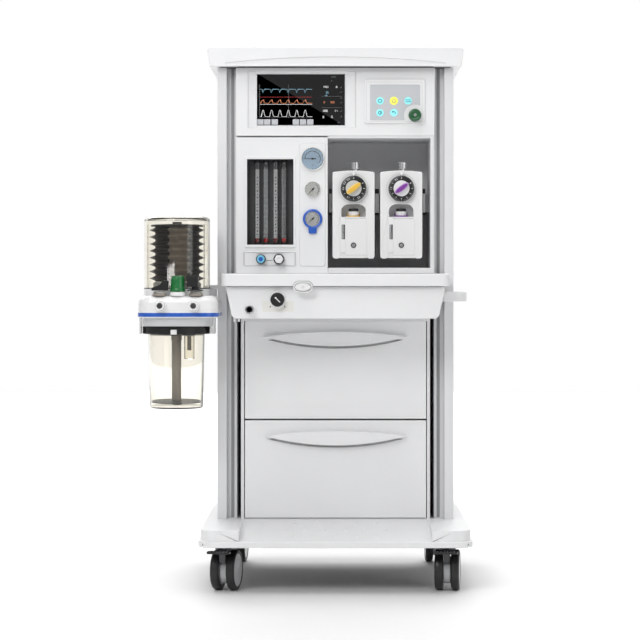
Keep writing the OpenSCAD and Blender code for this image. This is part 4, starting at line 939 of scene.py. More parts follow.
def vaporizer(word, collar):
    """White case, its niche with the filler cup, sight glass, drain and the ring round the dial."""
    node = word + "_vaporizer"
    dial = middle(word + "_dial")
    cx, z0 = dial.x, mm(node)[0].z
    w, y0 = 108.0, 10.0
    z1 = z0 + 227.0
    depth = 82.0
    body = "frame"
    # body shell with an arched top, small feet and a niche for the filler
    arch = []
    for i in range(25):
        t = -1 + 2 * i / 24
        arch.append((cx - t * (w / 2 - 1.5), z1 - 4.2 + 4.0 * (1 - t * t)))
    left, right = cx - w / 2, cx + w / 2
    outline = [(right, z0 + 6), (right, z1 - 8), (right - 0.4, z1 - 5.5)] + arch
    outline += [(left + 0.4, z1 - 5.5), (left, z1 - 8), (left, z0 + 6), (left + 3.5, z0 + 1.2),
                (left + 15, z0 + 0.4), (left + 17, z0 + 2.4), (right - 17, z0 + 2.4), (right - 15, z0 + 0.4),
                (right - 3.5, z0 + 1.2)]
    niche_w, niche_z0, niche_z1 = 62.0, z0 + 104.0, z0 + 140.5
    niche = [(cx - niche_w / 2, niche_z0), (cx + niche_w / 2, niche_z0)]
    for i in range(13):
        a = math.radians(90 * i / 12)
        niche.append((cx + niche_w / 2 - 20 + 20 * math.cos(a), niche_z1 - 17 + 17 * math.sin(a)))
    for i in range(13):
        a = math.radians(90 + 90 * i / 12)
        niche.append((cx - niche_w / 2 + 20 + 20 * math.cos(a), niche_z1 - 17 + 17 * math.sin(a)))
    solid(word + "_vaporizer_front", [outline, niche], "y", y0, y0 + 37.5, body, GLOSS, 1.6, 4,
          replaces=[node])
    solid(word + "_vaporizer_rear", outline, "y", y0 + 37.5, y0 + depth, body, GLOSS, 1.6, 4)
    mount_lo_z = 990.0
    solid(word + "_vaporizer_mount", rounded(cx, mount_lo_z + 21, 79, 41.5, 3), "y", y0 + depth - 1,
          y0 + depth + 33.5, body, MID_GREY, 0.8)
    # raised lower panel with soft shoulders, and the drain screw
    solid(word + "_vaporizer_panel", rounded(cx + 5.6, z0 + 56.0, 56.0, 92.0, 4), "y", y0 - 1.6, y0 + 1,
          body, GLOSS, 1.1, 4)
    solid(word + "_vaporizer_shoulder", [rounded(cx, z0 + 55.0, 72.0, 106.0, 5),
            rounded(cx, z0 + 55.0, 66.0, 100.0, 4)], "y", y0 - 0.6, y0 + 0.6, body, GLOSS, 0.4)
    lathe(word + "_drain_ring", [(4.6, 0), (7.0, 0), (7.0, 1.6), (6.2, 2.4), (5.0, 2.4), (4.6, 1.6),
            (4.6, 0)], (cx, y0 - 1.4, z0 + 35), "front", body, DARK_GREY, 0.15, 48)
    lathe(word + "_drain_screw", [(0, 0), (4.5, 0), (4.5, 1.4), (3.8, 2.0), (0, 2.0)],
          (cx, y0 - 1.4, z0 + 35), "front", body, BRUSHED, 0.1, 40)
    ribbons(word + "_drain_slot", [[(cx - 2.2, z0 + 37.2), (cx + 2.2, z0 + 32.8)]], 1.0, y0 - 3.4, body,
            INK, 0.08)
    # sight glass: white cap, clear window with a light back and a dark strip, holder
    gx = cx - 27.0
    solid(word + "_sight_cap", rounded(gx, z0 + 98.0, 13.0, 14.0, 2.5), "y", y0 - 3.9, y0 + 4, body, GLOSS,
          0.7)
    solid(word + "_sight_holder", [rounded(gx, z0 + 54.0, 13.4, 75.0, 2.0),
            rounded(gx + 0.6, z0 + 69.0, 8.4, 38.0, 1.2)], "y", y0 - 3.4, y0 + 2, body, GLOSS, 0.5)
    solid(word + "_sight_back", rounded(gx + 0.6, z0 + 69.0, 8.6, 38.4, 0.6), "y", y0 - 0.9, y0 - 0.2, body,
          LIGHT_GREY, 0.1)
    solid(word + "_sight_shade", rounded(gx + 3.5, z0 + 69.0, 2.6, 38.2, 0.4), "y", y0 - 2.9, y0 - 0.9,
          body, BLACK, 0.1)
    lathe(word + "_sight_glass", [(0, 0), (2.4, 0), (2.4, 37), (0, 37)], (gx - 0.6, y0 - 1.2, z0 + 50.5),
          "z", body, GLASS, 0.2, 32)
    # niche floor, filler cup with coloured collar and its bracket
    fz = niche_z0
    fx, fy = cx, middle(word + "_filler_cap").y
    solid(word + "_niche_floor", [(cx - niche_w / 2 + 0.3, y0 + 0.6), (cx + niche_w / 2 - 0.3, y0 + 0.6),
            (cx + niche_w / 2 - 0.3, y0 + 37.4), (cx - niche_w / 2 + 0.3, y0 + 37.4)], "z", fz - 1.0,
          fz + 1.0, body, LIGHT_GREY, 0.4)
    plug_z = mm(word + "_filler_cap")[0].z
    cup_top = z0 + 122.0
    lathe(word + "_filler_cup", [(0, 0), (11.0, 0), (12.4, 3), (14.2, 10), (14.6, cup_top - fz - 1.8),
            (14.0, cup_top - fz - 0.9), (8.05, cup_top - fz - 0.9), (8.05, 3.0), (0, 3.0)],
          (fx, fy, fz + 0.9), "z", body, GLOSS, 0.4, 64)
    lathe(word + "_filler_collar", [(13.2, 0), (18.0, 0), (18.6, 1.4), (18.0, 4.4), (15.6, 6.6),
            (13.6, 6.0), (13.2, 0)], (fx, fy, fz + 1.0), "z", body, collar, 0.4, 64)
    solid(word + "_filler_bracket", rounded(fx, fz + 9.0, 33.0, 16.0, 3), "y", fy + 8.5, fy + 11.5, body,
          collar, 0.8)
    body_cap = body_of(word + "_filler_cap")
    lathe(word + "_filler_cap_body", [(0, 0), (12.9, 0), (12.9, 5.0), (11.9, 7.0), (9.2, 7.5), (8.2, 6.2),
            (6.0, 5.8), (0, 5.8)], (fx, fy, cup_top + 0.5), "z", body_cap, BLACK, 0.3, 72,
          replaces=[word + "_filler_cap"],
          flutes=lambda a, h: 1 + (0.02 * math.cos(18 * a) - 0.02 if 0.5 < h < 5.5 else 0))
    lathe(word + "_filler_plug", [(0, 0), (7.4, 0), (7.98, 1), (7.98, cup_top + 0.5 - plug_z),
            (0, cup_top + 0.5 - plug_z)], (fx, fy, plug_z), "z", body_cap, DARK_GREY, 0.1, 40)
    # ring and pointer round the dial
    dz = dial.z
    ribbons(word + "_dial_ring", [oval(cx, dz, 38.0, n=96)], 0.9, y0 + 0.05, body, LIGHT_GREY, 0.25,
            closed=True)
    solid(word + "_dial_pointer", [(cx - 4.2, dz + 40.5), (cx + 4.2, dz + 40.5), (cx + 2.4, dz + 33.6),
            (cx, dz + 32.2), (cx - 2.4, dz + 33.6)], "y", y0 - 18.0, y0 + 0.5, body, GLOSS, 0.4)


def dial_knob(word, paint, edge):
    """Black numbered skirt, pale hub and an oval grip turned to the upper right."""
    node = word + "_dial"
    lo, hi = mm(node)
    cx, cz = middle(node).x, middle(node).z
    body = body_of(node)
    back = 9.5
    r = 33.0
    lathe(node + "_skirt", [(5, 0), (r, 0), (r, 12.5), (r - 1.2, 15.0), (r - 3.2, 16.2), (21.5, 17.6),
            (0, 17.6), (0, 0.5), (5, 0.5), (5, 0)], (cx, back, cz), "front", body, BLACK, 0.3, 128,
          replaces=[node],
          flutes=lambda a, h: 1 + (0.008 * math.cos(48 * a) - 0.008 if 0.5 < h < 12 else 0))
    lathe(node + "_hub", [(0, 0), (20.4, 0), (20.4, 1.2), (19.6, 2.2), (0, 2.6)], (cx, back - 17.4, cz),
          "front", body, LIGHT_GREY if word == "left" else GLOSS, 0.3, 96)
    tilt = math.radians(37)
    ca, sa = math.cos(tilt), math.sin(tilt)

    def leaf(rx, ry, p=2.2):
        pts = []
        for i in range(72):
            a = 2 * math.pi * i / 72
            u = rx * math.copysign(abs(math.cos(a)) ** (2 / p), math.cos(a))
            v = ry * math.copysign(abs(math.sin(a)) ** (2 / p), math.sin(a))
            pts.append((cx + u * ca - v * sa, cz + u * sa + v * ca))
        return pts

    grip_front = lo.y
    solid(node + "_grip_base", leaf(21.6, 7.4), "y", grip_front + 3.0, back - 19.2, body, edge, 1.2, 4)
    solid(node + "_grip_inlay", leaf(18.8, 5.2, 2.0), "y", grip_front + 0.6, back - 20.2, body, paint, 1.3, 4)
    numbers = ["0", "0.2", "0.4", "0.6", "1", "1.5", "2", "2.5", "3", "4", "5"] if word == "left" else \
              ["0", "0.5", "1", "1.5", "2", "3", "4", "5", "6", "7", "8"]
    items = []
    for k, t in enumerate(numbers):
        a = -30.0 * k
        x, z = on_arc(cx, cz, 26.2, a)
        items.append((t, x, z, -a))
    numerals(node + "_numbers", items, 6.4, back - 17.05, body, WHITE_INK, 0.16)
    ticks = [[on_arc(cx, cz, 29.9, -7.5 * k), on_arc(cx, cz, 31.3, -7.5 * k)] for k in range(41)]
    ribbons(node + "_ticks", ticks, 0.5, back - 16.3, body, WHITE_INK, 0.35)
    lathe(node + "_spindle", [(0, 0), (4.95, 0), (4.95, hi.y - back - 1), (4.2, hi.y - back),
            (0, hi.y - back)], (cx, back, cz), "y", body, BRUSHED, 0.2, 40)


def lock_knob(word):
    """Fluted metal knob on a slim neck."""
    node = word + "_lock_knob"
    lo, hi = mm(node)
    m = middle(node)
    h = hi.z - lo.z
    lathe(node + "_body", [(0, 0), (3.6, 0), (3.95, 0.8), (3.95, 28), (6.8, 28.2), (6.8, 34), (11.0, 34.4),
            (11.5, 35.2), (11.5, h - 1.6), (10.4, h - 0.5), (0, h)], (m.x, m.y, lo.z), "z", body_of(node),
          BRUSHED, 0.3, 96, replaces=[node],
          flutes=lambda a, hh: 1 + (0.014 * math.cos(40 * a) - 0.014 if 35.5 < hh < h - 2 else 0))


vaporizer("left", YELLOW)
vaporizer("right", PURPLE)
dial_knob("left", YELLOW, plastic("amber_light", (0.90, 0.66, 0.20), 0.34, coat=0.2))
dial_knob("right", PURPLE, plastic("lilac_plastic", (0.60, 0.44, 0.70), 0.34, coat=0.2))
lock_knob("left")
lock_knob("right")
# blocks of the back bar seen in the gaps beside the vaporizers
for k, (x, w) in enumerate(((-13.0, 7.0), (107.5, 10.0), (229.0, 7.0))):
    solid("bar_block_%d" % k, rounded(x, 967.0, w, 50.0, 1.2), "y", 62.0, 95.5, "frame", GLOSS, 0.5)
    solid("bar_block_cap_%d" % k, rounded(x, 998.0, w, 12.0, 1.0), "y", 60.0, 95.5, "frame", BLACK, 0.5)
    solid("bar_block_foot_%d" % k, rounded(x, 939.5, w, 5.0, 1.0), "y", 60.0, 95.5, "frame", BLACK, 0.4)

# ---------------------------------------------------------------- controls on the apron

apron_face = -185.0                               # flat front of the apron
boss_face = -212.0                                # front of the boss round the flush button
rear_face = 392.0                                 # outer face of the rear cover
flush = middle("o2_flush_button")
flo, fhi = mm("o2_flush_button")
face = flo.y
bodyf = body_of("o2_flush_button")
solid("o2_flush_push", oval(flush.x, flush.z, 19.8, 9.8, 72), "y", face, fhi.y, bodyf, GLOSS, 1.2, 4,
      replaces=["o2_flush_button"])
ribbons("o2_flush_mark", [oval(flush.x, flush.z, 2.8, 2.4, n=32)], 0.6, face, bodyf, GREY_INK, 0.1,
        closed=True)
ribbons("o2_flush_ring", [oval(flush.x, flush.z, 22.3, 12.1, n=96)], 1.5, boss_face + 0.1, "frame", GLOSS,
        0.6, closed=True)

sel = middle("outlet_selector_knob")
shi = mm("outlet_selector_knob")[1]
r = 17.5
body = body_of("outlet_selector_knob")
back = -190.5
lathe("selector_knob_body", [(4, 0), (r, 0), (r, 11.2), (r - 1.0, 13.8), (r - 2.6, 15.0), (0, 15.2),
        (0, 0.6), (4, 0.6), (4, 0)], (sel.x, back, sel.z), "front", body, BLACK, 0.3, 96,
      replaces=["outlet_selector_knob"],
      flutes=lambda a, h: 1 + (0.012 * math.cos(30 * a) - 0.012 if 1 < h < 11 else 0))
lathe("selector_spindle", [(0, 0), (3.9, 0), (3.9, shi.y - back), (0, shi.y - back)], (sel.x, back, sel.z),
      "y", body, BRUSHED, 0.2, 32)
d = 1 / math.sqrt(2)
ribbons("selector_pointer", [[(sel.x - 5.4 * d, sel.z + 5.4 * d), (sel.x + 9.0 * d, sel.z - 9.0 * d)]], 2.2,
        back - 15.15, body, WHITE_INK, 0.7)
lathe("selector_dot", [(0, 0), (2.1, 0), (2.1, 0.5), (1.5, 0.9), (0, 0.9)],
      (sel.x - 6.2 * d, back - 15.1, sel.z + 6.2 * d), "front", body, WHITE_INK, 0.1, 32)
lathe("selector_ring", [(17.9, 0), (21.4, 0), (21.4, 2.6), (20.6, 4.2), (18.8, 4.6), (17.9, 3.8), (17.9, 0)],
      (sel.x, apron_face + 0.2, sel.z), "front", "frame", GLOSS, 0.3, 96)
marks = []
for s in (-1, 1):
    mx, mz = sel.x + s * 18.6, sel.z - 17.2
    marks.append(extrusion([[(mx - 2.0, mz - 1.6), (mx + 2.0, mz - 1.6), (mx - s * 1.8, mz + 2.4)]], "y",
            apron_face - 0.5, apron_face))
soften(joined("selector_marks", marks, "frame", INK), 0)
solid("selector_label", rounded(sel.x + 1, sel.z - 17, 78, 26, 4), "y", apron_face - 0.2, apron_face + 0.2,
      "frame", DIAL_FACE, 0.1)

ox, oz = -212.0, 694.5
lathe("outlet_cone", [(7.5, -16), (11, -16), (11, 21.2), (10.4, 22), (8.2, 22), (7.5, 21.2), (7.5, -16)],
      (ox, apron_face, oz), "front", "frame", CHROME, 0.2, 72, replaces=["gas_fittings"])
lathe("outlet_collar", [(11.05, 0), (15.9, 0), (15.9, 2.6), (14.8, 4.6), (12.2, 5.0), (11.05, 4.4),
        (11.05, 0)], (ox, apron_face, oz), "front", "frame", GLOSS, 0.3, 72)
# painted shade: a black lining darkens the bore of the cone
lathe("outlet_bore_painted_shade", [(6.2, -15), (7.48, -15), (7.48, 20), (7.0, 20.4), (6.2, 20), (6.2, -15)],
      (ox, apron_face, oz), "front", "frame", BLACK, 0.1, 48)
for k, x in enumerate(inlet_x):
    lathe("supply_inlet_%d" % k, [(3, -28), (7, -28), (7, 13.5), (6.4, 14.4), (6.9, 15.3), (6.4, 16.2),
            (6.9, 17.1), (6.4, 18.4), (6.0, 19.8), (3.6, 20), (3, 19.4), (3, -28)], (x, rear_face, inlet_z),
          "y", "frame", BRUSHED, 0.15, 48)
    lathe("supply_nut_%d" % k, [(7.05, 0.2), (12, 0.2), (12, 5.0), (11.0, 6), (7.05, 6), (7.05, 0.2)],
          (x, rear_face, inlet_z), "y", "frame", CHROME, 0.25, 6, angle=20)

# ---------------------------------------------------------------- absorber

ab_lo = mm("absorber_block")[0]
bx = -388.0
by0, by1 = -225.0, -5.0
bmid = (by0 + by1) / 2
can = middle("canister")


def soft_block(z0, z1, w, d, r, shoulder, mat, name, **kw):
    """Moulded block: round corners in plan and a domed shoulder all round its top."""
    bm = bmesh.new()
    rings = []
    steps = [(0, z0), (0, z0 + (z1 - z0 - shoulder) * 0.98)]
    for i in range(1, 11):
        a = math.radians(90 * i / 10)
        steps.append((shoulder * (1 - math.cos(a)), z1 - shoulder + shoulder * math.sin(a)))
    for inset, z in steps:
        ring = rounded(bx, bmid, w - 2 * inset, d - 2 * inset, max(r - inset * 0.6, 4), 12)
        rings.append([bm.verts.new(at(x, y, z)) for x, y in ring])
    for a, b in zip(rings, rings[1:]):
        n = len(a)
        for i in range(n):
            bm.faces.new((a[i], a[(i + 1) % n], b[(i + 1) % n], b[i]))
    bm.faces.new(rings[0][::-1])
    bm.faces.new(rings[-1])
    bmesh.ops.recalc_face_normals(bm, faces=bm.faces)
    obj = add(name, mesh_from(bm, name), "absorber", mat, **kw)
    return soften(obj, 0, angle=50)


soft_block(687.2, 728.4, 197.6, 219.6, 40, 19, GLOSS, "absorber_housing", replaces=["absorber_block"])
solid("absorber_band", rounded(bx, bmid, 200.6, 223.4, 41.6, 14), "z", 676.7, 686.9, "absorber", BLUE, 1.4, 4)
solid("absorber_band_line_top", rounded(bx, bmid, 199.4, 222.0, 41, 14), "z", 686.4, 688.2, "absorber",
      WHITE, 0.4)
solid("absorber_band_line_low", rounded(bx, bmid, 199.4, 222.0, 41, 14), "z", 674.6, 677.0, "absorber",
      WHITE, 0.4)
solid("absorber_skirt", rounded(bx - 2, bmid - 2, 171.6, 199.6, 39.8, 14), "z", 653.4, 675.4, "absorber",
      LIGHT_GREY, 1.6, 4)
lathe("absorber_platform", [(0, 0), (84, 0), (84, 15.2), (82.6, 17.4), (0, 17.8)], (DOME_X, DOME_Y, 728.0),
      "z", "absorber", GLOSS, 0.5, 96)
lathe("absorber_dome_seal", [(79.4, 0), (83.8, 0), (83.8, 1.8), (79.4, 1.8), (79.4, 0)],
      (DOME_X, DOME_Y, 745.6), "z", "absorber", DARK_GREY, 0.3, 96)
lathe("absorber_bellows_base", [(0, 0), (60, 0), (60, 12), (57, 16.6), (0, 16.8)], (DOME_X, DOME_Y, 745.8),
      "z", "absorber", MID_GREY, 0.5, 96)
lathe("absorber_spigot", [(71.6, 0), (77.8, 0), (77.8, 11), (71.6, 11), (71.6, 0)], (can.x, can.y, 643.2),
      "z", "absorber", DARK_GREY, 0.4, 96)
lathe("absorber_recess", [(0, 10.8), (63, 10.8), (63, 0.4), (71.4, 0.4), (71.4, 11.6), (0, 11.6)],
      (can.x, can.y, 642.4), "z", "absorber", BLACK, 0.3, 96)
for k, (x0, x1) in enumerate(((ab_lo.x, ab_lo.x + 5), (can.x + 85.0, can.x + 97.0))):
    solid("absorber_tab_%d" % k, rounded((x0 + x1) / 2, can.y, x1 - x0 - 0.3, 69.6, 2), "z", 633.3, 677.0,
          "absorber", GLOSS, 0.8)
for s, name in ((-1, "inspiratory"), (1, "expiratory")):
    px = bx + s * 41
    lathe(name + "_port", [(7.5, -18), (11, -18), (11, 23.8), (10.2, 25), (8.2, 25), (7.5, 24.2),
            (7.5, -18)], (px, by0, 704), "front", "absorber", GLOSS, 0.25, 72)
    # painted shade: a grey lining darkens the bore of the port
    lathe(name + "_port_bore_painted_shade", [(6.4, -17), (7.48, -17), (7.48, 22.5), (6.4, 22.5), (6.4, -17)],
          (px, by0, 704), "front", "absorber", MID_GREY, 0.1, 48)
    lathe(name + "_port_collar", [(11.05, -6), (15.5, -6), (15.0, 3), (13.2, 4.5), (11.05, 4.5),
            (11.05, -6)], (px, by0, 704), "front", "absorber", GLOSS, 0.4, 64)
    valve_x, valve_y = bx + s * 45, -205.0
    lathe(name + "_valve_seat", [(0, 0), (17.8, 0), (17.8, 3.8), (16.6, 5.6), (0, 5.8)],
          (valve_x, valve_y, 728.2), "z", "absorber", TAUPE, 0.3, 72,
          replaces=["check_valves"] if s < 0 else ())
    lathe(name + "_valve_window", [(0, 0), (15.0, 0), (14.8, 3.6), (12.8, 5.6), (0, 6.2)],
          (valve_x, valve_y, 733.8), "z", "absorber", SMOKE, 0.2, 72)
    lathe(name + "_valve_disc", [(0, 0), (10.5, 0), (10.5, 1.2), (0, 1.2)], (valve_x, valve_y, 734.6), "z",
          "absorber", DIAL_FACE, 0.2, 48)
lathe("apl_collar", [(0, 0), (19.8, 0), (19.8, 7), (18.6, 9.6), (0, 9.9)], (bx, -203, 728.0), "z",
      "absorber", GLOSS, 0.4, 72)
alo, ahi = mm("apl_knob")
h0 = 738.5 - alo.z
ah = ahi.z - alo.z
lathe("apl_knob_body", [(0, 0), (4.6, 0), (4.95, 0.6), (4.95, h0), (18.8, h0 + 0.1), (18.8, h0 + 5.2),
        (17.9, h0 + 7.4), (17.3, h0 + 8.6), (17.0, ah - 8.5), (16.2, ah - 6.6), (15.6, ah - 2.2),
        (14.0, ah - 0.5), (0, ah)], (bx, -203, alo.z), "z", body_of("apl_knob"), GREEN, 0.3, 144,
      replaces=["apl_knob"],
      flutes=lambda a, h: 1 + (0.035 * (abs(math.cos(7 * a)) ** 0.5) - 0.035 if h0 + 9 < h < ah - 5 else 0))

# clear dome with a flanged foot and a rounded crown
dlo, dhi = mm("bellows_dome")
dr = (dhi.x - dlo.x) / 2
dh = dhi.z - dlo.z
wall = 2.6
prof = [(dr - wall, 0.2), (dr, 0.2), (dr, 4.0), (dr - 0.8, 5.4), (dr - 0.8, dh - 12)]
for i in range(1, 9):
    a = math.radians(90 * i / 8)
    prof.append((dr - 0.8 - 10 * (1 - math.cos(a)), dh - 12 + 10 * math.sin(a)))
prof += [(20, dh - 1.2), (0, dh - 0.9), (0, dh - 0.9 - wall), (20, dh - 1.2 - wall)]
for i in range(8, -1, -1):
    a = math.radians(90 * i / 8)
    prof.append((dr - 0.8 - wall - 8.4 * (1 - math.cos(a)), dh - 13 + 10 * math.sin(a) - wall * 0.6))
prof += [(dr - 0.8 - wall, 5.4), (dr - wall, 4.0), (dr - wall, 0.2)]
lathe("bellows_dome_shell", prof, (DOME_X, DOME_Y, dlo.z), "z", "absorber", SMOKE, 0, 128, angle=35,
      replaces=["bellows_dome"])
lathe("bellows_dome_vent", [(0, 0), (7, 0), (7, 1.0), (0, 1.0)], (DOME_X, DOME_Y, dhi.z - 1.05), "z",
      "absorber", MID_GREY, 0.2, 40)
rods = []
for a in (math.radians(207), math.radians(333)):
    foot = (DOME_X + 77.0 * math.cos(a), DOME_Y + 77.0 * math.sin(a), 746.5)
    rods.append(turned([(0, 0), (1.5, 0), (1.5, 160), (0, 160)], foot, "z", 16))
soften(joined("bellows_guides", rods, "absorber", SMOKE), 0)
lathe("bellows_dome_rim", [(68, 0), (76, 0), (76, 2.2), (68, 2.2), (68, 0)], (DOME_X, DOME_Y, dhi.z - 9.0),
      "z", "absorber", BLACK, 0.4, 96)

# dark fittings on the two check valves: an angled elbow on the left, a capped box with a flange on the right
solid("valve_elbow", [(-452, 741), (-412, 741), (-410.4, 766), (-424, 766), (-432, 756), (-452, 748)], "y",
      -217, -193, "absorber", BLACK, 1.6)
solid("valve_box", rounded(-351.5, 764, 28.0, 28.0, 3.5), "y", -218, -190, "absorber", BLACK, 1.4)
lathe("valve_box_neck", [(0, 0), (20, 0), (20, 2.6), (9, 4.6), (8.4, 10.5), (0, 10.5)], (-345, -205, 740.4),
      "z", "absorber", BLACK, 0.5, 64)

# pleated bellows
blo, bhi = mm("bellows")
br = (bhi.x - blo.x) / 2
bh = bhi.z - blo.z
pleats = 8
pitch = bh / pleats
prof = [(br - 19, 0.2)]
for k in range(pleats):
    z = k * pitch
    prof += [(br - 15.5, z + 0.3), (br - 13.5, z + pitch * 0.20), (br - 1.2, z + pitch * 0.455),
             (br - 0.2, z + pitch * 0.5), (br - 1.2, z + pitch * 0.545), (br - 13.5, z + pitch * 0.80)]
prof += [(br - 15.5, bh - 0.3), (br - 19, bh - 0.3), (br - 19, 0.2)]
# the bellows material paints a reflection band down its front
bag = lathe("bellows_bag", prof, (DOME_X, DOME_Y, blo.z), "z", "absorber", BELLOWS_PAINTED_REFLECTION, 0, 128, angle=25,
            replaces=["bellows"])
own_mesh(bag)
plo, phi = mm("bellows_plate")
ph = phi.z - plo.z
lathe("bellows_plate_body", [(0, 0), (65.6, 0), (65.9, 2.4), (64.6, 4.9), (40, 5.0), (38, 6.0), (13, 6.2),
        (12, 7.2), (11.6, ph - 0.6), (10.6, ph), (0, ph)], (DOME_X, DOME_Y, plo.z), "z",
      body_of("bellows_plate"), BLACK, 0.3, 128, replaces=["bellows_plate"])

# canister: clear jar, screen plates, centre tube with its black collar, and water trap
clo, chi = mm("canister")
cr = (chi.x - clo.x) / 2
ch = chi.z - clo.z
bodyc = body_of("canister")
tw = 2.6
prof = [(0, 0.2), (cr - 14, 0.2), (cr - 8, 1.0), (cr - 5.4, 3.4), (cr - 4.6, 7.0), (cr - 0.2, ch - 6),
        (cr, ch - 4), (cr, ch - 0.2), (cr - tw, ch - 0.2), (cr - tw, ch - 6), (cr - 4.6 - tw, 8.0),
        (cr - 8.6, 4.6), (cr - 14, 3.4), (0, 3.4)]
lathe("canister_jar", prof, (can.x, can.y, clo.z), "z", bodyc, SMOKE, 0, 128, angle=35, replaces=["canister"])
screen = []
rings = ((20, 8), (32, 14), (44, 20), (55, 26))   # radius of a ring of holes, and how many
for z, r_out in ((clo.z + 14, cr - 9.0), (clo.z + ch - 21, cr - 4.4)):
    holes = []
    for q, cnt in rings:
        if q + 4.5 < r_out:
            turns = [2 * math.pi * j / cnt for j in range(cnt)]
            holes += [oval(can.x + q * math.cos(a), can.y + q * math.sin(a), 3.4, n=16) for a in turns]
    screen.append(extrusion([oval(can.x, can.y, r_out, n=96)] + holes, "z", z, z + 2.4))
soften(joined("canister_screens", screen, bodyc, DARK_GREY), 0)
lathe("canister_tube", [(9.2, 0), (12, 0), (12, ch - 40), (13.4, ch - 38), (13.4, ch - 8), (9.2, ch - 8),
        (9.2, 0)], (can.x, can.y, clo.z + 5.5), "z", bodyc, TAUPE, 0.4, 64)
lathe("canister_tube_collar", [(9.4, 0), (13.9, 0), (13.9, 5.5), (9.4, 5.5), (9.4, 0)],
      (can.x, can.y, clo.z + ch - 14), "z", bodyc, BLACK, 0.4, 64)
tx, ty = can.x + 34, can.y - 30
lathe("canister_trap_cup", [(0, 0), (11.4, 0), (12.8, 1.4), (12.9, 58), (10.9, 58), (10.8, 2.6), (0, 2.6)],
      (tx, ty, clo.z + ch - 80), "z", bodyc, SMOKE, 0.2, 48)
lathe("canister_trap_tube", [(3.4, 0), (5.2, 0), (5.2, 44), (3.4, 44), (3.4, 0)], (tx, ty, clo.z + ch - 58),
      "z", bodyc, TAUPE, 0.2, 32)
lathe("canister_trap_cap", [(0, 0), (13.4, 0), (13.4, 6), (12.4, 7.4), (0, 7.6)],
      (tx, ty, clo.z + ch - 22.5), "z", bodyc, LIGHT_GREY, 0.3, 48)

# locking ring under the block with its white finger tab
rlo, rhi = mm("canister_ring")
bodyr = body_of("canister_ring")
ring_r = (rhi.x - rlo.x) / 2
rh = rhi.z - rlo.z
lathe("canister_ring_body", [(77.3, 0.2), (83.0, 0.2), (ring_r - 0.1, 1.6), (ring_r - 0.1, rh - 1.2),
        (ring_r - 1.4, rh - 0.2), (78.7, rh - 0.2), (78.7, 9.7), (77.3, 9.7), (77.3, 0.2)],
      (can.x, can.y, rlo.z), "z", bodyr, BLACK, 0.3, 128, replaces=["canister_ring"],
      flutes=lambda a, h: 1 - (0.004 if (a * 18 / math.pi) % 2 > 1.5 and 1.7 < h < rh - 1.3 else 0))
solid("canister_ring_tab", rounded(can.x, can.y - ring_r - 1.2, 15.6, 15.0, 3.4), "z", rlo.z + 0.2,
      rlo.z + 11.8, bodyr, GLOSS, 0.8)

# ---------------------------------------------------------------- casters

stem_x, front_stem_y, rear_stem_y = 275.0, -190.0, 330.0    # where the caster stems stand
trail, axle_z = 24, 50                                      # axle behind its stem and above the floor


def side_turn(profile, x0, y, z, direction, n=72):
    """Solid of revolution about the axle, its height along local x."""
    bm = turned(profile, (0, 0, 0), "z", n)
    base = at(0, 0, 0)
    for v in bm.verts:
        p = (v.co - base) * 1000
        v.co = at(x0 + direction * p.z, y + p.x, z + p.y)
    bmesh.ops.recalc_face_normals(bm, faces=bm.faces)
    return bm


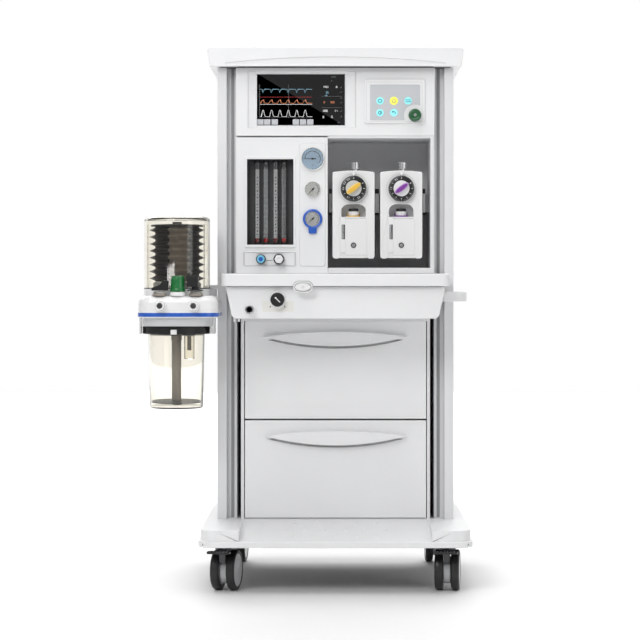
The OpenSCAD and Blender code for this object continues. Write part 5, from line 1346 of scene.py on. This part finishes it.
for i, corner in enumerate(("front_left", "front_right", "rear_left", "rear_right")):
    turn = math.radians((-12, -6, -5, 0)[i])
    sx = -stem_x if i % 2 == 0 else stem_x
    sy = front_stem_y if i < 2 else rear_stem_y
    ca, sa = math.cos(turn), math.sin(turn)

    def local(bm, sx=sx, sy=sy, ca=ca, sa=sa):
        """Turns a bmesh drawn in the caster's own frame to its place."""
        base = at(0, 0, 0)
        for v in bm.verts:
            x, y = (v.co.x - base.x) * 1000, (v.co.y - base.y) * 1000
            v.co = at(sx + x * ca - y * sa, sy + x * sa + y * ca, (v.co.z - base.z) * 1000)
        return bm

    fork_body, wheel_body = corner + "_caster", corner + "_wheels"
    inner, outer_x = 9.5, 31.0
    w = outer_x - inner
    tyres, discs = [], []
    for s in (-1, 1):
        tread = [(37, 0.2), (44, 0.0), (47.2, 0.8), (49.2, 3.0), (50, 6.0), (50, 8.6), (49.6, 9.0),
                 (49.6, 9.8), (50, 10.2), (50, w - 6.4), (49.0, w - 3.0), (46.6, w - 0.9), (43.4, w - 0.4),
                 (40.6, w - 1.0), (40.6, w - 4), (37, w - 4), (37, 0.2)]
        tyres.append(local(side_turn(tread, s * inner, trail, axle_z, s, 96)))
        disc = [(0, w - 1.6), (12, w - 1.6), (14, w - 2.6), (30, w - 2.4), (36, w - 1.3), (40.2, w - 1.6),
                (40.4, w - 3), (40.4, w - 5), (0, w - 5)]
        discs.append(local(side_turn(disc, s * inner, trail, axle_z, s, 96)))
        cover = [(0, 0.6), (36.8, 0.6), (36.8, 2.6), (0, 2.6)]
        discs.append(local(side_turn(cover, s * inner, trail, axle_z, s, 72)))
    soften(joined(corner + "_tyres", tyres, wheel_body, RUBBER, replaces=[corner + "_wheels"]), 0.3, 2, 35)
    soften(joined(corner + "_wheel_discs", discs, wheel_body, LIGHT_GREY), 0.3, 2, 35)
    axle = local(side_turn([(0, -9.9), (3.9, -9.9), (3.9, 9.9), (0, 9.9)], 0, trail, axle_z, 1, 32))
    soften(joined(corner + "_axle", [axle], wheel_body, BRUSHED), 0)
    # housing between the wheels: light drum, dark web and flange, steel stem
    drum = local(side_turn([(4.1, -8.6), (31, -8.6), (33.6, -7.4), (33.6, 7.4), (31, 8.6), (4.1, 8.6),
            (4.1, -8.6)], 0, trail, axle_z, 1, 72))
    soften(joined(corner + "_drum", [drum], fork_body, LIGHT_GREY, replaces=[corner + "_fork"]), 0.4, 2, 35)
    web = [(-15.4, 103.2), (25.2, 103.2), (39, 66), (24, 58), (6.5, 62)]
    parts = [local(extrusion([web], "x", -6.2, 6.2))]
    parts.append(local(turned([(0, 0), (21.6, 0), (21.6, 3.6), (19.8, 5.6), (0, 5.8)], (0, 0, 103.6), "z",
            64)))
    tongue = [(-21, 100), (-15.5, 100), (-9, 70), (-11.4, 68.5), (-15.5, 74)]
    parts.append(local(extrusion([tongue], "x", -7.6, 7.6)))
    if i < 2:
        parts.append(local(extrusion([rounded(-23.6, 101.4, 18.0, 14.6, 2.4)], "x", -7.9, 7.9)))
    soften(joined(corner + "_housing", parts, fork_body, DARK_GREY), 0.8, 3, 30)
    stem = local(turned([(0, 0), (5.9, 0), (5.9, 27.5), (5.0, 28.6), (0, 28.8)], (0, 0, 109.4), "z", 40))
    soften(joined(corner + "_stem", [stem], fork_body, BRUSHED), 0)
    cover_parts = [local(extrusion([rounded(0, 0, 60, 60, 8)], "z", 110.4, 113.8))]
    soften(joined(corner + "_mounting_pad", cover_parts, "frame", BLACK), 0.5)
    if i < 2:
        y, z = -27.0, 101.0
        ped = corner + "_brake_pedal"
        plate = [local(extrusion([rounded(0, y - 22, 57.4, 23.4, 6)], "z", z - 2.8, z + 2.6))]
        for s in (-1, 1):
            plate.append(local(extrusion([[(y - 13, z - 3.6), (y + 2, z - 4.4), (y + 4, z - 2),
                    (y + 4, z + 2), (y + 2, z + 4), (y - 13, z + 2.4)]], "x", s * 11.2 - 2.6,
                    s * 11.2 + 2.6)))
        plate.append(local(side_turn([(0, -13.8), (2.95, -13.8), (2.95, 13.8), (0, 13.8)], 0, y, z, 1, 24)))
        soften(joined(corner + "_pedal", plate, ped, BLACK, replaces=[ped]), 0.7, 3, 30)
        pad = [local(extrusion([[(u - 1.0, y - 31), (u + 1.0, y - 31), (u + 1.0, y - 13),
                (u - 1.0, y - 13)]], "z", z + 2.4, z + 3.2)) for u in (-20, -12, -4, 4, 12, 20)]
        soften(joined(corner + "_pedal_ribs", pad, ped, LIGHT_GREY), 0.2, 2)

# ---------------------------------------------------------------- drawers: painted shadow lines behind the fronts

for node in ("upper_drawer", "lower_drawer"):
    lo, hi = mm(node)
    body = body_of(node)
    # painted shadow: a dark frame just behind the drawer front, where its gap would lie in shade
    solid(node + "_painted_shadow_line", [rounded(0, (lo.z + hi.z) / 2, 462, hi.z - lo.z - 1.5, 2),
            rounded(0, (lo.z + hi.z) / 2, 456, hi.z - lo.z - 7.5, 2)], "y", 19.6, 20.8, body, DARK_GREY,
          0.2)

# ---------------------------------------------------------------- stage, lights, camera

floor = bpy.data.meshes.new("floor")
size = 9.0
floor.from_pydata([(-size, -size, 0), (size, -size, 0), (size, size, 0), (-size, size, 0)], [],
        [(0, 1, 2, 3)])
ground = bpy.data.objects.new("floor", floor)
floor.materials.append(plastic("studio_floor", (0.90, 0.90, 0.90), 0.6, grain=3.0, depth=0.0, vary=0.02,
        tint=0.995))
scene.collection.objects.link(ground)

world = bpy.data.worlds.new("studio")
world.use_nodes = True
sky = world.node_tree
sky.nodes["Background"].inputs["Color"].default_value = (1, 1, 1, 1)
aim = sky.nodes.new("ShaderNodeTexCoord")
axes = sky.nodes.new("ShaderNodeSeparateXYZ")
sky.links.new(aim.outputs["Generated"], axes.inputs["Vector"])
walls = sky.nodes.new("ShaderNodeMapRange")
walls.interpolation_type = "SMOOTHSTEP"
for socket, value in (("From Min", 0.35), ("From Max", 0.9), ("To Min", 0.32), ("To Max", 1.0)):
    walls.inputs[socket].default_value = value
sky.links.new(axes.outputs["Y"], walls.inputs["Value"])
sky.links.new(walls.outputs["Result"], sky.nodes["Background"].inputs["Strength"])
scene.world = world


def softbox(name, place, target, width, height, power):
    """White rectangular area light that faces its target."""
    light = bpy.data.lights.new(name, "AREA")
    light.shape = "RECTANGLE"
    light.size, light.size_y = width, height
    light.energy = power
    obj = bpy.data.objects.new(name, light)
    obj.location = Vector(place)
    obj.rotation_mode = "QUATERNION"
    obj.rotation_quaternion = (Vector(target) - Vector(place)).to_track_quat("-Z", "Y")
    scene.collection.objects.link(obj)


softbox("overhead", (0.0, -0.6, 3.4), (0.0, 0.0, 0.0), 3.2, 3.0, 56)
softbox("key", (-1.4, -3.4, 2.9), (0.05, -0.1, 0.75), 1.8, 1.4, 58)
softbox("rear", (0.0, 6.5, 4.6), (0.0, 6.5, 0.0), 10.0, 6.0, 560)
softbox("fill", (2.9, -2.8, 1.5), (0.05, 0.0, 0.75), 1.4, 2.0, 14)

camera = bpy.data.cameras.new("camera")
camera.sensor_width = 36.0
camera.lens = 114.26
camera.shift_x = -15.5 / 640
camera.shift_y = -35.0 / 640
camera.clip_end = 60
eye = bpy.data.objects.new("camera", camera)
eye.location = (0.07575, -5.28, 0.755)
eye.rotation_euler = (math.radians(90), 0, 0)
scene.collection.objects.link(eye)
scene.camera = eye
scene.view_settings.view_transform = "Standard"
